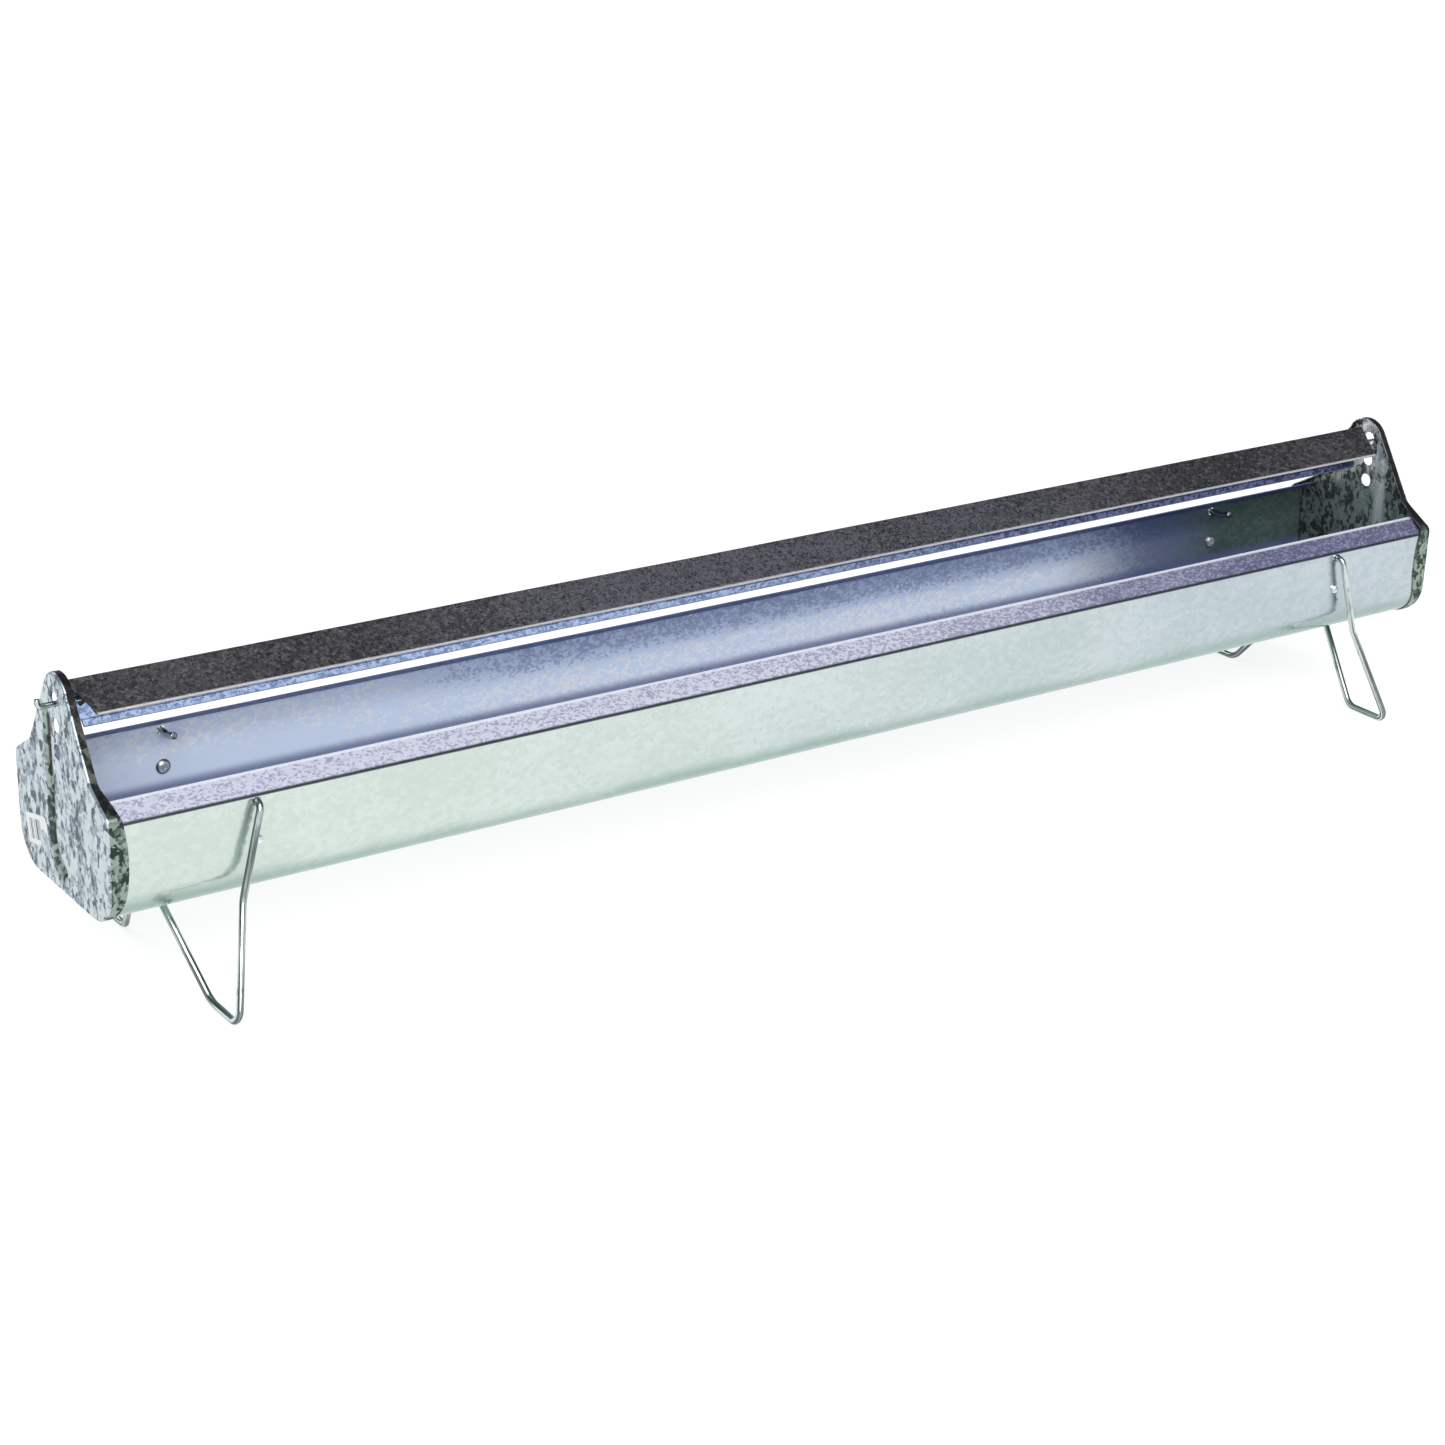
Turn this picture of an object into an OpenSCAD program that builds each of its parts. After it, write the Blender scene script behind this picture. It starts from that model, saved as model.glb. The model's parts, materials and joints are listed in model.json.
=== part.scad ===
// Linear poultry trough feeder in folded galvanised sheet: a U trough with rolled-in lips, two pressed
// end caps, a turning guard bar on a wire axle, and two swinging wire stands.
// Millimetres. +X runs along the trough, +Z is up, and the origin is on the ground under the middle.

/* [Trough] */
// Overall length over the two end caps
body_len = 1000; // [700:10:1200]
// Outside width across the end caps at the rim
body_w = 128.5; // [120:0.5:140]
// Height of the rim's bend above the underside of the end caps
wall_h = 63; // [60:0.5:66]
// Lean of each wall out from the vertical, in degrees
wall_draft = 1.4; // [0.5:0.1:2.5]
// Outside radius of the rounded bottom corners
corner_r = 25; // [14:0.5:26]
// Width of the folded lip, measured up its slope
lip_w = 16.5; // [12:0.5:18]
// Slope of the lip above the horizontal, in degrees
lip_angle = 30; // [25:1:35]
// Thickness of every folded sheet
sheet = 0.8; // [0.6:0.1:1]

/* [End caps] */
// Height of an end cap from its underside to the top of its nose
cap_h = 131.5; // [128:0.5:136]
// Radius of the rounded nose at the top
nose_r = 17; // [16.5:0.5:18]
// Lean of the neck's edges from the vertical, in degrees
neck_lean = 31.7; // [30:0.1:33]
// Depth of the turned-in flange along the neck
neck_flange = 5.5; // [4:0.5:6.5]
// Depth of the turned-in flange at its widest, over the wall
body_flange = 12; // [9:0.5:16]
// Diameter of each hole for the bar's axle
bar_hole_d = 9; // [8:0.5:10]
// Distance between neighbouring axle holes
bar_hole_step = 15.5; // [14:0.5:17]
// Distance of the pressed groove from the cap's centre line
groove_y = 13; // [12:0.5:15]

/* [Guard bar] */
// Width of each wing of the bar
wing_w = 29; // [24:0.5:31]
// Angle between the two wings, in degrees
bar_angle = 52; // [46:1:66]
// How far the resting bar is turned from upright, in degrees
bar_turn = 34; // [0:1:45]
// How far the bar has slid along its axle towards the right end cap
bar_slide = 2.5; // [-2.5:0.5:2.5]
// Diameter of the axle wire
axle_d = 3.4; // [3:0.1:4]
// How far the axle sticks out past each end cap
axle_out = 10; // [8:1:20]

/* [Stands] */
// Height of the end caps' underside above the ground
ground_gap = 59; // [50:1:70]
// Distance of each stand's hooks from the middle of the trough
stand_x = 411; // [300:1:430]
// Diameter of the stand wire
wire_d = 4.4; // [4:0.1:5]
// Width over both feet, to the crossings of the wire's straight runs
foot_span = 193; // [184:1:210]
// How far each foot stands out past its hooks, along the trough
foot_out = 30; // [24:1:34]
// How far each belly bend stands out past its hooks, along the trough
belly_out = 42; // [36:1:44]

/* [Rivets and label] */
// Height of the stop rivets above the underside of the end caps
rivet_z = 36.5; // [30:0.5:42]
// Diameter of each rivet's domed head
rivet_head_d = 9.5; // [8:0.5:10]
// Width of the price label
label_w = 31; // [20:1:34]
// Height of the price label
label_h = 18; // [12:1:20]

/* [Hidden] */
$fn = 64;
zinc = [0.72, 0.77, 0.79];
dark_zinc = [0.36, 0.37, 0.39];
bright_wire = [0.66, 0.7, 0.72];

seam = 0.1;                       // slack between a cap's flange and the trough inside it
run_gap = 0.3;                    // least gap between pieces that move past each other
face_x = body_len / 2;            // outer face of the right end cap
nest = 1.5 * sheet + seam;        // from a cap's outside to the middle of the trough's sheet
wall_slope = tan(wall_draft);

// End cap outline, as [y, z] corners with a radius at each, in the cap's own height
nose_z = cap_h - nose_r;
foot_y = body_w / 2 - wall_h * wall_slope;
shoulder_z = wall_h + 3.6;        // height of the shoulder's slope where it meets the wall's line
shoulder_r = 5;
neck_r = 12;
shoulder_y = foot_y + shoulder_z * wall_slope;
peak_z = nose_z + nose_r / sin(neck_lean);
neck_y = (peak_z - shoulder_z - shoulder_y * tan(lip_angle)) / (1 / tan(neck_lean) - tan(lip_angle));
neck_z = peak_z - neck_y / tan(neck_lean);
cap_corners = [[0, peak_z], [-neck_y, neck_z], [-shoulder_y, shoulder_z], [-foot_y, 0],
               [foot_y, 0], [shoulder_y, shoulder_z], [neck_y, neck_z]];
cap_radii = [nose_r, neck_r, shoulder_r, corner_r, corner_r, shoulder_r, neck_r];

// Trough section, the middle of its sheet from one lip to the other
rim_y = foot_y + wall_h * wall_slope - nest;
floor_y = foot_y - nest;
lip_y = rim_y - lip_w * cos(lip_angle);
lip_z = wall_h + lip_w * sin(lip_angle);
trough_path = [[-lip_y, lip_z], [-rim_y, wall_h], [-floor_y, nest], [floor_y, nest],
               [rim_y, wall_h], [lip_y, lip_z]];
trough_radii = [0, 1.6, corner_r - nest, corner_r - nest, 1.6, 0];
wall_lean = atan2(rim_y - floor_y, wall_h - nest);

// Pressed groove in each cap: straight down, then a hook-shaped tail towards the front
groove_top = 107;
groove_low = 34;
groove_tail_r = 24;
groove_tail_turn = 70;
groove_half_w = 5;
groove_depth = 2;
groove_r = (pow(groove_half_w, 2) + pow(groove_depth, 2)) / (2 * groove_depth);

// Axle and bar, about the axle's own line
axle_drop = 0.8;                                // from the middle of the nose down to the axle
axle_z = ground_gap + nose_z - axle_drop;
bar_hole_z = nose_z - axle_drop + bar_hole_d / 2 - axle_d / 2 - run_gap;
ridge_up = wing_w / 2 * cos(bar_angle / 2);     // the bar balances on its axle
tip_y = wing_w * sin(bar_angle / 2);
tip_z = ridge_up - wing_w * cos(bar_angle / 2);
bar_ridge_x = face_x - 6;                       // half the bar's length along its ridge
bar_tip_x = bar_ridge_x - 9;                    // half its length along its wings' edges
tab_x = bar_tip_x + 1.3;                        // middle of each folded end tab
tab_low = -3.2;
axle_hook = 4.5;
axle_bend_r = 2.6;

// Stands: the bends of half a stand, from its hook outside the wall to the belly bend
hook_z = ground_gap + wall_h - 3.8;
hook_r = 4.5;
hook_y = 68.5;                    // middle of the wire where it runs down beside the wall
hook_in_y = 41;                   // free end of each hook, inside the trough
hook_hole_d = wire_d + 0.8;
belly_z = ground_gap + nest - sheet / 2 - wire_d / 2 - run_gap;
foot_y_out = foot_span / 2 - wire_d / 2;
half_stand = [[stand_x, hook_r - hook_y, hook_z],
              [stand_x, -hook_y, hook_z],
              [stand_x + 0.47 * foot_out, -70.5, ground_gap + 5],
              [stand_x + foot_out, -foot_y_out, wire_d / 2],
              [stand_x + foot_out, -foot_y_out + 36, wire_d / 2],
              [stand_x + belly_out, -13, belly_z]];
half_radii = [0, hook_r - 0.1, 12, 6, 12, 8];

rivet_shank_r = 2;
rivet_head_h = 2;
rivet_tail_h = 2;
rivet_slack = 0.02;               // keeps a head and a tail just off the sheet between them

// ---- Outlines -------------------------------------------------------------------------------------

function unit(v) = v / norm(v);
function turned(v, a) = [v.x * cos(a) - v.y * sin(a), v.x * sin(a) + v.y * cos(a)];
function turn_at(a, p, b) =
    let (u = unit(p - a), v = unit(b - p))
    atan2(u.x * v.y - u.y * v.x, u.x * v.x + u.y * v.y);

// Points round the corner p between a and b, on a line that lies `side` to the left of the path
function corner(a, p, b, r, side) =
    let (t = turn_at(a, p, b), s = sign(t), u = unit(p - a), left = [-u.y, u.x],
         centre = p - u * r * tan(abs(t) / 2) + left * r * s,
         steps = max(2, ceil(abs(t) / 7.5)))
    [for (i = [0 : steps]) centre - turned(left, t * i / steps) * s * (r - s * side)];

// A closed outline with its corners rounded, moved `inset` inwards
function rounded(pts, radii, inset) =
    let (n = len(pts))
    [for (i = [0 : n - 1])
        each corner(pts[(i + n - 1) % n], pts[i], pts[(i + 1) % n], radii[i], inset)];

// One edge of a bent sheet, `side` to the left of the middle of its thickness
function sheet_edge(pts, radii, side) =
    let (n = len(pts), first = unit(pts[1] - pts[0]), last = unit(pts[n - 1] - pts[n - 2]))
    [pts[0] + [-first.y, first.x] * side,
     for (i = [1 : n - 2]) each corner(pts[i - 1], pts[i], pts[i + 1], radii[i], side),
     pts[n - 1] + [-last.y, last.x] * side];

function backwards(list) = [for (i = [len(list) - 1 : -1 : 0]) list[i]];

module bent_sheet(pts, radii) {
    polygon(concat(sheet_edge(pts, radii, sheet / 2), backwards(sheet_edge(pts, radii, -sheet / 2))));
}

// A [y, z] outline pushed along X
module along_x(from, length) {
    translate([from, 0, 0]) rotate([90, 0, 90]) linear_extrude(length) children();
}

// An [x, z] outline pushed along Y, both ways
module along_y(length) {
    rotate([90, 0, 0]) linear_extrude(length, center = true) children();
}

// ---- Bent wire --------------------------------------------------------------------------------------

function bend_angle(a, p, b) = acos(unit(p - a) * unit(b - p));

// The part of v that is square to the unit direction d, at length 1
function squared(v, d) = unit(v - d * (v * d));

// Points round one bend of the wire's middle, with the direction of travel at each
function bend_stations(a, p, b, r) =
    let (turn = bend_angle(a, p, b), d = unit(p - a), side = squared(b - p, d),
         start = p - d * r * tan(turn / 2), steps = max(2, ceil(turn / 12)))
    [for (i = [0 : steps]) let (t = turn * i / steps)
        [start + r * (d * sin(t) + side * (1 - cos(t))), d * cos(t) + side * sin(t)]];

// A wire of diameter d through the bends, with `sides` flats round it. It is a hair thinner than the
// round rods that it butts against, so that only their end faces meet.
module bent_wire(pts, radii, d, sides = 16) {
    n = len(pts);
    stations = [[pts[0], unit(pts[1] - pts[0])],
                for (i = [1 : n - 2]) each bend_stations(pts[i - 1], pts[i], pts[i + 1], radii[i]),
                [pts[n - 1], unit(pts[n - 1] - pts[n - 2])]];
    m = len(stations);
    up0 = squared(abs(stations[0][1].z) > 0.9 ? [1, 0, 0] : [0, 0, 1], stations[0][1]);
    ups = [for (i = 0, up = up0; i < m;
                i = i + 1, up = i < m ? squared(up, stations[i][1]) : up) up];
    rings = [for (i = [0 : m - 1]) let (side = cross(stations[i][1], ups[i]))
                for (k = [0 : sides - 1]) let (a = 360 * (k + 0.5) / sides)
                    stations[i][0] + (ups[i] * cos(a) + side * sin(a)) * d * 0.495];
    walls = [for (i = [0 : m - 2]) for (k = [0 : sides - 1]) let (j = (k + 1) % sides)
                [i * sides + k, (i + 1) * sides + k, (i + 1) * sides + j, i * sides + j]];
    polyhedron(rings, concat([[for (k = [0 : sides - 1]) k]], walls,
                             [[for (k = [sides - 1 : -1 : 0]) (m - 1) * sides + k]]));
}

// ---- Trough -------------------------------------------------------------------------------------------

module wall_hole(x, z, d) {
    translate([x, 0, z]) rotate([90, 0, 0]) cylinder(h = body_w + 10, d = d, center = true);
}

module trough() {
    color(zinc) difference() {
        along_x(-face_x + sheet, body_len - 2 * sheet)
            translate([0, ground_gap]) bent_sheet(trough_path, trough_radii);
        for (x = [-stand_x, stand_x]) {
            wall_hole(x, hook_z, hook_hole_d);
            wall_hole(x, ground_gap + rivet_z, 2 * rivet_shank_r + 0.1);
        }
    }
}

// ---- End caps -----------------------------------------------------------------------------------------

// How deep the flange reaches at each height: narrow on the neck, bulging over the wall
module flange_reach() {
    bulge_r = 114;
    square([neck_flange, cap_h + 1]);
    intersection() {
        translate([body_flange - bulge_r, 40]) circle(r = bulge_r, $fn = 180);
        square([body_flange, wall_h + 14]);
    }
}

// A round bar of radius r along the groove's route, its middle outside the cap's face
module groove_route(r, past) {
    tail_turn = groove_tail_turn + past / groove_tail_r * 180 / PI;
    translate([groove_depth - groove_r, groove_y, 0]) {
        translate([0, 0, groove_low]) cylinder(h = groove_top + past - groove_low, r = r);
        translate([0, -groove_tail_r, groove_low]) rotate([90, 0, 90])
            rotate_extrude(angle = -tail_turn) translate([groove_tail_r, 0]) circle(r = r);
    }
}

// The left cap, its outer face on X = 0 and its underside on Z = 0
module end_cap() {
    difference() {
        union() {
            along_x(0, sheet) polygon(rounded(cap_corners, cap_radii, 0));
            intersection() {
                along_x(0, body_flange) difference() {
                    polygon(rounded(cap_corners, cap_radii, 0));
                    polygon(rounded(cap_corners, cap_radii, sheet));
                }
                along_y(body_w + 10) flange_reach();
            }
            intersection() {
                groove_route(groove_r + sheet, sheet);
                translate([0, -body_w / 2, 0]) cube([body_flange, body_w, cap_h]);
            }
        }
        groove_route(groove_r, 0);
        for (i = [0 : 2])
            translate([-1, 0, bar_hole_z - i * bar_hole_step]) rotate([0, 90, 0])
                cylinder(h = body_flange, d = bar_hole_d);
    }
}

module left_end_cap() {
    color(zinc) translate([-face_x, 0, ground_gap]) end_cap();
}

module right_end_cap() {
    color(zinc) rotate([0, 0, 180]) translate([-face_x, 0, ground_gap]) end_cap();
}

// ---- Guard bar ----------------------------------------------------------------------------------------

module about_axle() {
    translate([0, 0, axle_z]) rotate([-bar_turn, 0, 0]) children();
}

module end_tab(x) {
    tab_half = (ridge_up - tab_low) * tan(bar_angle / 2);
    along_x(x - sheet / 2, sheet) polygon([[0, ridge_up], [-tab_half, tab_low], [tab_half, tab_low]]);
}

module guard_bar() {
    color(dark_zinc) translate([bar_slide, 0, 0]) about_axle() difference() {
        union() {
            intersection() {
                along_x(-bar_ridge_x, 2 * bar_ridge_x)
                    bent_sheet([[-tip_y, tip_z], [0, ridge_up], [tip_y, tip_z]], [0, 1.2, 0]);
                along_y(3 * tip_y) polygon([[-bar_ridge_x, ridge_up + 2], [-bar_ridge_x, ridge_up],
                                            [-bar_tip_x, tip_z], [-bar_tip_x, tip_z - 2],
                                            [bar_tip_x, tip_z - 2], [bar_tip_x, tip_z],
                                            [bar_ridge_x, ridge_up], [bar_ridge_x, ridge_up + 2]]);
            }
            for (x = [-tab_x, tab_x]) end_tab(x);
        }
        rotate([0, 90, 0]) cylinder(h = body_len + 10, d = axle_d + 0.1, center = true);
    }
}

module bar_axle() {
    straight = face_x + axle_out - axle_bend_r - 0.1;
    color(bright_wire) translate([0, 0, axle_z]) {
        rotate([0, 90, 0]) cylinder(h = 2 * straight, d = axle_d, center = true);
        for (side = [-1, 1])
            bent_wire([[side * straight, 0, 0], [side * (face_x + axle_out), 0, 0],
                       [side * (face_x + axle_out), 0, axle_hook]], [0, axle_bend_r, 0], axle_d);
    }
}

// ---- Stands -------------------------------------------------------------------------------------------

module right_stand() {
    other_half = [for (p = backwards(half_stand)) [p.x, -p.y, p.z]];
    color(bright_wire) {
        bent_wire(concat(half_stand, other_half), concat(half_radii, backwards(half_radii)), wire_d);
        for (side = [-1, 1]) translate([stand_x, side * (hook_y - hook_r), hook_z]) rotate([side * 90, 0, 0])
            cylinder(h = hook_y - hook_r - hook_in_y, d = wire_d);
    }
}

module left_stand() {
    rotate([0, 0, 180]) right_stand();
}

// ---- Stop rivets --------------------------------------------------------------------------------------

// A rivet standing on Z, the trough's sheet centred on Z = 0, its domed head below
module rivet() {
    head_r = rivet_head_d / 2;
    dome_r = (pow(head_r, 2) + pow(rivet_head_h, 2)) / (2 * rivet_head_h);
    seat = sheet / 2 + rivet_slack;
    intersection() {
        translate([0, 0, dome_r - rivet_head_h - seat]) sphere(r = dome_r);
        translate([0, 0, -rivet_head_h - seat]) cylinder(h = rivet_head_h, r = head_r);
    }
    translate([0, 0, -seat]) cylinder(h = 2 * seat, r = rivet_shank_r);
    translate([0, 0, seat]) cylinder(h = rivet_tail_h, r1 = 2.6, r2 = 1.9);
}

module wall_rivet(x, side) {
    wall_y = floor_y + (rivet_z - nest) * tan(wall_lean);
    color(bright_wire) translate([x, side * wall_y, ground_gap + rivet_z])
        rotate([-side * (90 + wall_lean), 0, 0]) rivet();
}

module front_left_rivet() { wall_rivet(-stand_x, -1); }
module front_right_rivet() { wall_rivet(stand_x, -1); }
module back_left_rivet() { wall_rivet(-stand_x, 1); }
module back_right_rivet() { wall_rivet(stand_x, 1); }

// ---- Label --------------------------------------------------------------------------------------------

module price_label() {
    label_t = 0.2;
    color("white") translate([-face_x - label_t, 36, ground_gap + 26]) rotate([-13, 0, 0])
        translate([0, -label_w / 2, -label_h / 2]) cube([label_t, label_w, label_h]);
}

trough();
left_end_cap();
right_end_cap();
guard_bar();
bar_axle();
left_stand();
right_stand();
front_left_rivet();
front_right_rivet();
back_left_rivet();
back_right_rivet();
price_label();
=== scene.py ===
# %% [markdown]
# # A galvanised trough feeder for poultry
# A folded sheet trough hangs between two pressed end caps. A guard bar turns on a wire axle above it, so that
# no bird can perch over the feed, and two bent wire stands hold it off the ground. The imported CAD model
# gives every place and size. Here each piece gets its real surface: rolled edges, waves in the long folded
# sheet, a pressed groove, drawn wire, and zinc with its crystals, which are called spangle.

# %% Load the frame
import json
from math import atan2, cos, radians, sin, tan

import bmesh
import bpy
import numpy as np
from mathutils import Matrix, Vector


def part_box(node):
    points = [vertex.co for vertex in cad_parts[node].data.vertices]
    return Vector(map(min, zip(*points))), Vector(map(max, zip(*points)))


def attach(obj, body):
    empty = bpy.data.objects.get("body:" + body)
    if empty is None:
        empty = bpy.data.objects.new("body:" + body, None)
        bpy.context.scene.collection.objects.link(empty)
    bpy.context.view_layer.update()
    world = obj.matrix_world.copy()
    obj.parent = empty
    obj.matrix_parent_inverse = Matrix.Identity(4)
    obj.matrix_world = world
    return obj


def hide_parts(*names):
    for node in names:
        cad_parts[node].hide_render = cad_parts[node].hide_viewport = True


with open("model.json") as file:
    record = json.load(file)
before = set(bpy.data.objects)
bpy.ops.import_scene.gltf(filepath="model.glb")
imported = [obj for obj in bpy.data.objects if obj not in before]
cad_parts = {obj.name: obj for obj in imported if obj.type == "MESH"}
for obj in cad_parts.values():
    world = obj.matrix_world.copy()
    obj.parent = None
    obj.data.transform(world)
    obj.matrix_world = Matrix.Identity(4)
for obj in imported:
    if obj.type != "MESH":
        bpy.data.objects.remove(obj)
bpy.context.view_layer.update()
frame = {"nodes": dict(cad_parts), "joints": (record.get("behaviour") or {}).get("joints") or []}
MM = 0.001
print("CAD nodes:", sorted(frame["nodes"]))

# %% [markdown]
# ## Places
# Nothing is measured twice: the hinge lines come from the joints of the record, and the ends and heights of
# the pieces from the boxes of their CAD nodes. Only what a box can't say, such as a bend's radius, is typed.

# %% Places taken from the frame
hinge = {j["child"]: np.array(j["pos_m"]) for j in frame["joints"]}
lip_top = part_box("trough")[1][2]
cap_low, cap_high = (np.array(c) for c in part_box("left_end_cap"))
SHEET = 0.8 * MM
SEAM = 0.1 * MM                                # air between a cap's flange and the wall it lies on
WALL_H = 63 * MM                               # from the underside to the fold of the lips
FACE_X = cap_low[0]                            # outer face of the left cap, a negative number
UNDER_Z = cap_low[2]
FOLD_Z = UNDER_Z + WALL_H
axle = hinge["guard_bar"]
hook = hinge["right_stand"]
print("cap face at x =", round(FACE_X, 4), " underside at z =", round(UNDER_Z, 4), " axle at", axle)

# %% [markdown]
# ## Routes with rounded bends
# A folder, a press and a wire bender all do the same thing: straight runs joined by arcs. One function gives
# such a route through a list of corners, in two or three dimensions, so the trough's section, the caps'
# outline and the wires all share it.

# %% A route of straight runs and arcs
def unit(v):
    return v / np.linalg.norm(v)


def rounded_route(corners, radii, step, bend_step=radians(9), closed=False):
    """Points along straight runs joined by arcs.

    With d the direction into a corner and s the side it turns to, the arc of radius r through the turn T
    starts r tan(T/2) before the corner, and its point at angle t is start + r (d sin t + s (1 - cos t)).
    Straight runs are cut into equal pieces no longer than step.
    """
    corners = [np.asarray(c, float) for c in corners]
    n = len(corners)
    bends = []
    for i in range(n) if closed else range(1, n - 1):
        before, here, after = corners[i - 1], corners[i], corners[(i + 1) % n]
        d, e = unit(here - before), unit(after - here)
        turn = np.arccos(np.clip(d @ e, -1, 1))
        side = unit(e - d * (d @ e))
        start = here - d * radii[i] * tan(turn / 2)
        t = np.linspace(0, turn, max(3, int(np.ceil(turn / bend_step)) + 1))[:, None]
        bends.append(start + radii[i] * (d * np.sin(t) + side * (1 - np.cos(t))))
    if not closed:
        bends = [corners[0][None]] + bends + [corners[-1][None]]
    pieces = []
    for k, bend in enumerate(bends):
        pieces.append(bend)
        if closed or k + 1 < len(bends):
            a, b = bend[-1], bends[(k + 1) % len(bends)][0]
            cuts = int(np.ceil(np.linalg.norm(b - a) / step))
            pieces.append(a + (b - a) * (np.arange(1, cuts) / max(cuts, 1))[:, None])
    return np.concatenate(pieces)


def along(points):
    """Distance walked to each point of a route."""
    steps = np.linalg.norm(np.diff(points, axis=0), axis=1)
    return np.concatenate([[0], np.cumsum(steps)])


elbow = rounded_route([(1, 0), (0, 0), (0, 1)], [0, 0.5, 0], 1)
print("an elbow of two unit legs, rounded to radius 0.5:", len(elbow), "points,",
      round(float(along(elbow)[-1]), 3), "long")

# %% [markdown]
# ## From a grid of points to a mesh
# Most pieces are one surface with two parameters, so their points fill a grid. The helper turns the grid
# into quads in one go and can join its last column to its first. Quads that a mask leaves out make the
# punched holes. Solidify then gives a sheet its thickness, and a small Bevel takes the sharpness off its
# cut edges, so that they catch the light as sheared metal does.

# %% Grid to mesh, and sheet metal from it
SAME_POINT, NO_LENGTH = 2e-6, 1e-6             # metres
CUT_EDGE = 0.16 * MM


def grid_quads(nu, nv, close_v=False):
    """Corner numbers i nv + j of the quads of an nu by nv grid, with column nv joined to column 0 or not."""
    i = np.arange(nu - 1)[:, None]
    j = np.arange(nv if close_v else nv - 1)[None, :]
    j2 = (j + 1) % nv
    quad = [i * nv + j, (i + 1) * nv + j, (i + 1) * nv + j2, i * nv + j2]
    return np.stack(quad, axis=-1)


def make_object(name, points, quads, material, uv=None):
    """A mesh object at the origin from points (n, 3) and quads (m, 4), with an optional UV per point."""
    mesh = bpy.data.meshes.new(name)
    points, quads = points.reshape(-1, 3), quads.reshape(-1, 4)
    mesh.vertices.add(len(points))
    mesh.vertices.foreach_set("co", points.astype(np.float32).ravel())
    mesh.loops.add(quads.size)
    mesh.loops.foreach_set("vertex_index", quads.astype(np.int32).ravel())
    mesh.polygons.add(len(quads))
    mesh.polygons.foreach_set("loop_start", np.arange(0, quads.size, 4, dtype=np.int32))
    mesh.polygons.foreach_set("use_smooth", np.ones(len(quads), bool))
    mesh.update(calc_edges=True)
    if uv is not None:
        layer = mesh.uv_layers.new(name="along")
        layer.data.foreach_set("uv", uv.reshape(-1, 2)[quads.ravel()].astype(np.float32).ravel())
    mesh.validate()
    mesh.materials.append(material)
    obj = bpy.data.objects.new(name, mesh)
    bpy.context.scene.collection.objects.link(obj)
    return obj


def merge(obj, turn_out=False):
    """Joins points that coincide, so that seams and poles are closed, and drops what is left without area."""
    bm = bmesh.new()
    bm.from_mesh(obj.data)
    bmesh.ops.remove_doubles(bm, verts=bm.verts, dist=SAME_POINT)
    bmesh.ops.dissolve_degenerate(bm, edges=bm.edges, dist=NO_LENGTH)
    loose = [v for v in bm.verts if not v.link_faces]
    bmesh.ops.delete(bm, geom=loose, context="VERTS")
    if turn_out:
        bmesh.ops.recalc_face_normals(bm, faces=bm.faces)
    bm.to_mesh(obj.data)
    bm.free()


def sheet_metal(obj, offset):
    """Gives a surface the sheet's thickness, inwards for -1 and both ways for 0, and rounded cut edges."""
    solid = obj.modifiers.new("thickness", "SOLIDIFY")
    solid.thickness = SHEET
    solid.offset = offset
    solid.use_even_offset = True
    bevel = obj.modifiers.new("cut edges", "BEVEL")
    bevel.width = CUT_EDGE
    bevel.segments = 2
    bevel.limit_method = "ANGLE"
    bevel.angle_limit = radians(55)
    bevel.harden_normals = True


def place(obj, body, slot, *nodes):
    """Lets a piece ride on its body, in place of the CAD nodes it stands for, and prints its size."""
    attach(obj, body)
    if nodes:
        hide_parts(*nodes)
    co = np.empty(len(obj.data.vertices) * 3, np.float32)
    obj.data.vertices.foreach_get("co", co)
    co = co.reshape(-1, 3)
    print(f"{obj.name}: {len(obj.data.polygons)} faces, {np.round((co.max(0) - co.min(0)) / MM, 1)} mm")


# %% [markdown]
# ## Shader maths as plain expressions
# A finish is a formula: spangle tone times this plus that. `Value` wraps one socket and turns +, -, * and
# abs into Math nodes, so a finish reads as the formula it is. Colours go through Mix nodes instead, because
# a Math node would turn them grey, and directions through Vector Math. Any other node comes from one
# function, `add_node`, which the sky uses too.

# %% Values and nodes
class Value:
    """One number of a finish. Sums and products of it add Math nodes."""

    def __init__(self, finish, socket):
        self.finish, self.socket = finish, socket

    def maths(self, operation, *terms):
        return self.finish.value("ShaderNodeMath", {"operation": operation}, dict(enumerate(terms)))

    def __add__(self, other):
        return self.maths("ADD", self, other)

    def __sub__(self, other):
        return self.maths("SUBTRACT", self, other)

    def __mul__(self, other):
        return self.maths("MULTIPLY", self, other)

    def __rsub__(self, other):
        return self.maths("SUBTRACT", other, self)

    def __abs__(self):
        return self.maths("ABSOLUTE", self)

    def floor(self):
        return self.maths("FLOOR", self)

    def root(self):
        return self.maths("SQRT", self)

    __radd__ = __add__
    __rmul__ = __mul__


def add_node(tree, kind, settings=None, inputs=None):
    """Any node: its settings first, a ramp's stops among them, then the values or links of its sockets."""
    made = tree.nodes.new(kind)
    for name, setting in (settings or {}).items():
        if name == "stops":
            ramp = made.color_ramp
            while len(ramp.elements) < len(setting):
                ramp.elements.new(0.5)
            for element, (position, colour) in zip(ramp.elements, setting):
                element.position, element.color = position, colour
        else:
            setattr(made, name, setting)
    for name, given in (inputs or {}).items():
        given = given.socket if isinstance(given, Value) else given
        if isinstance(given, bpy.types.NodeSocket):
            tree.links.new(given, made.inputs[name])
        else:
            made.inputs[name].default_value = given
    return made


def rgb(r, g, b):
    return (r, g, b, 1)


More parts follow.
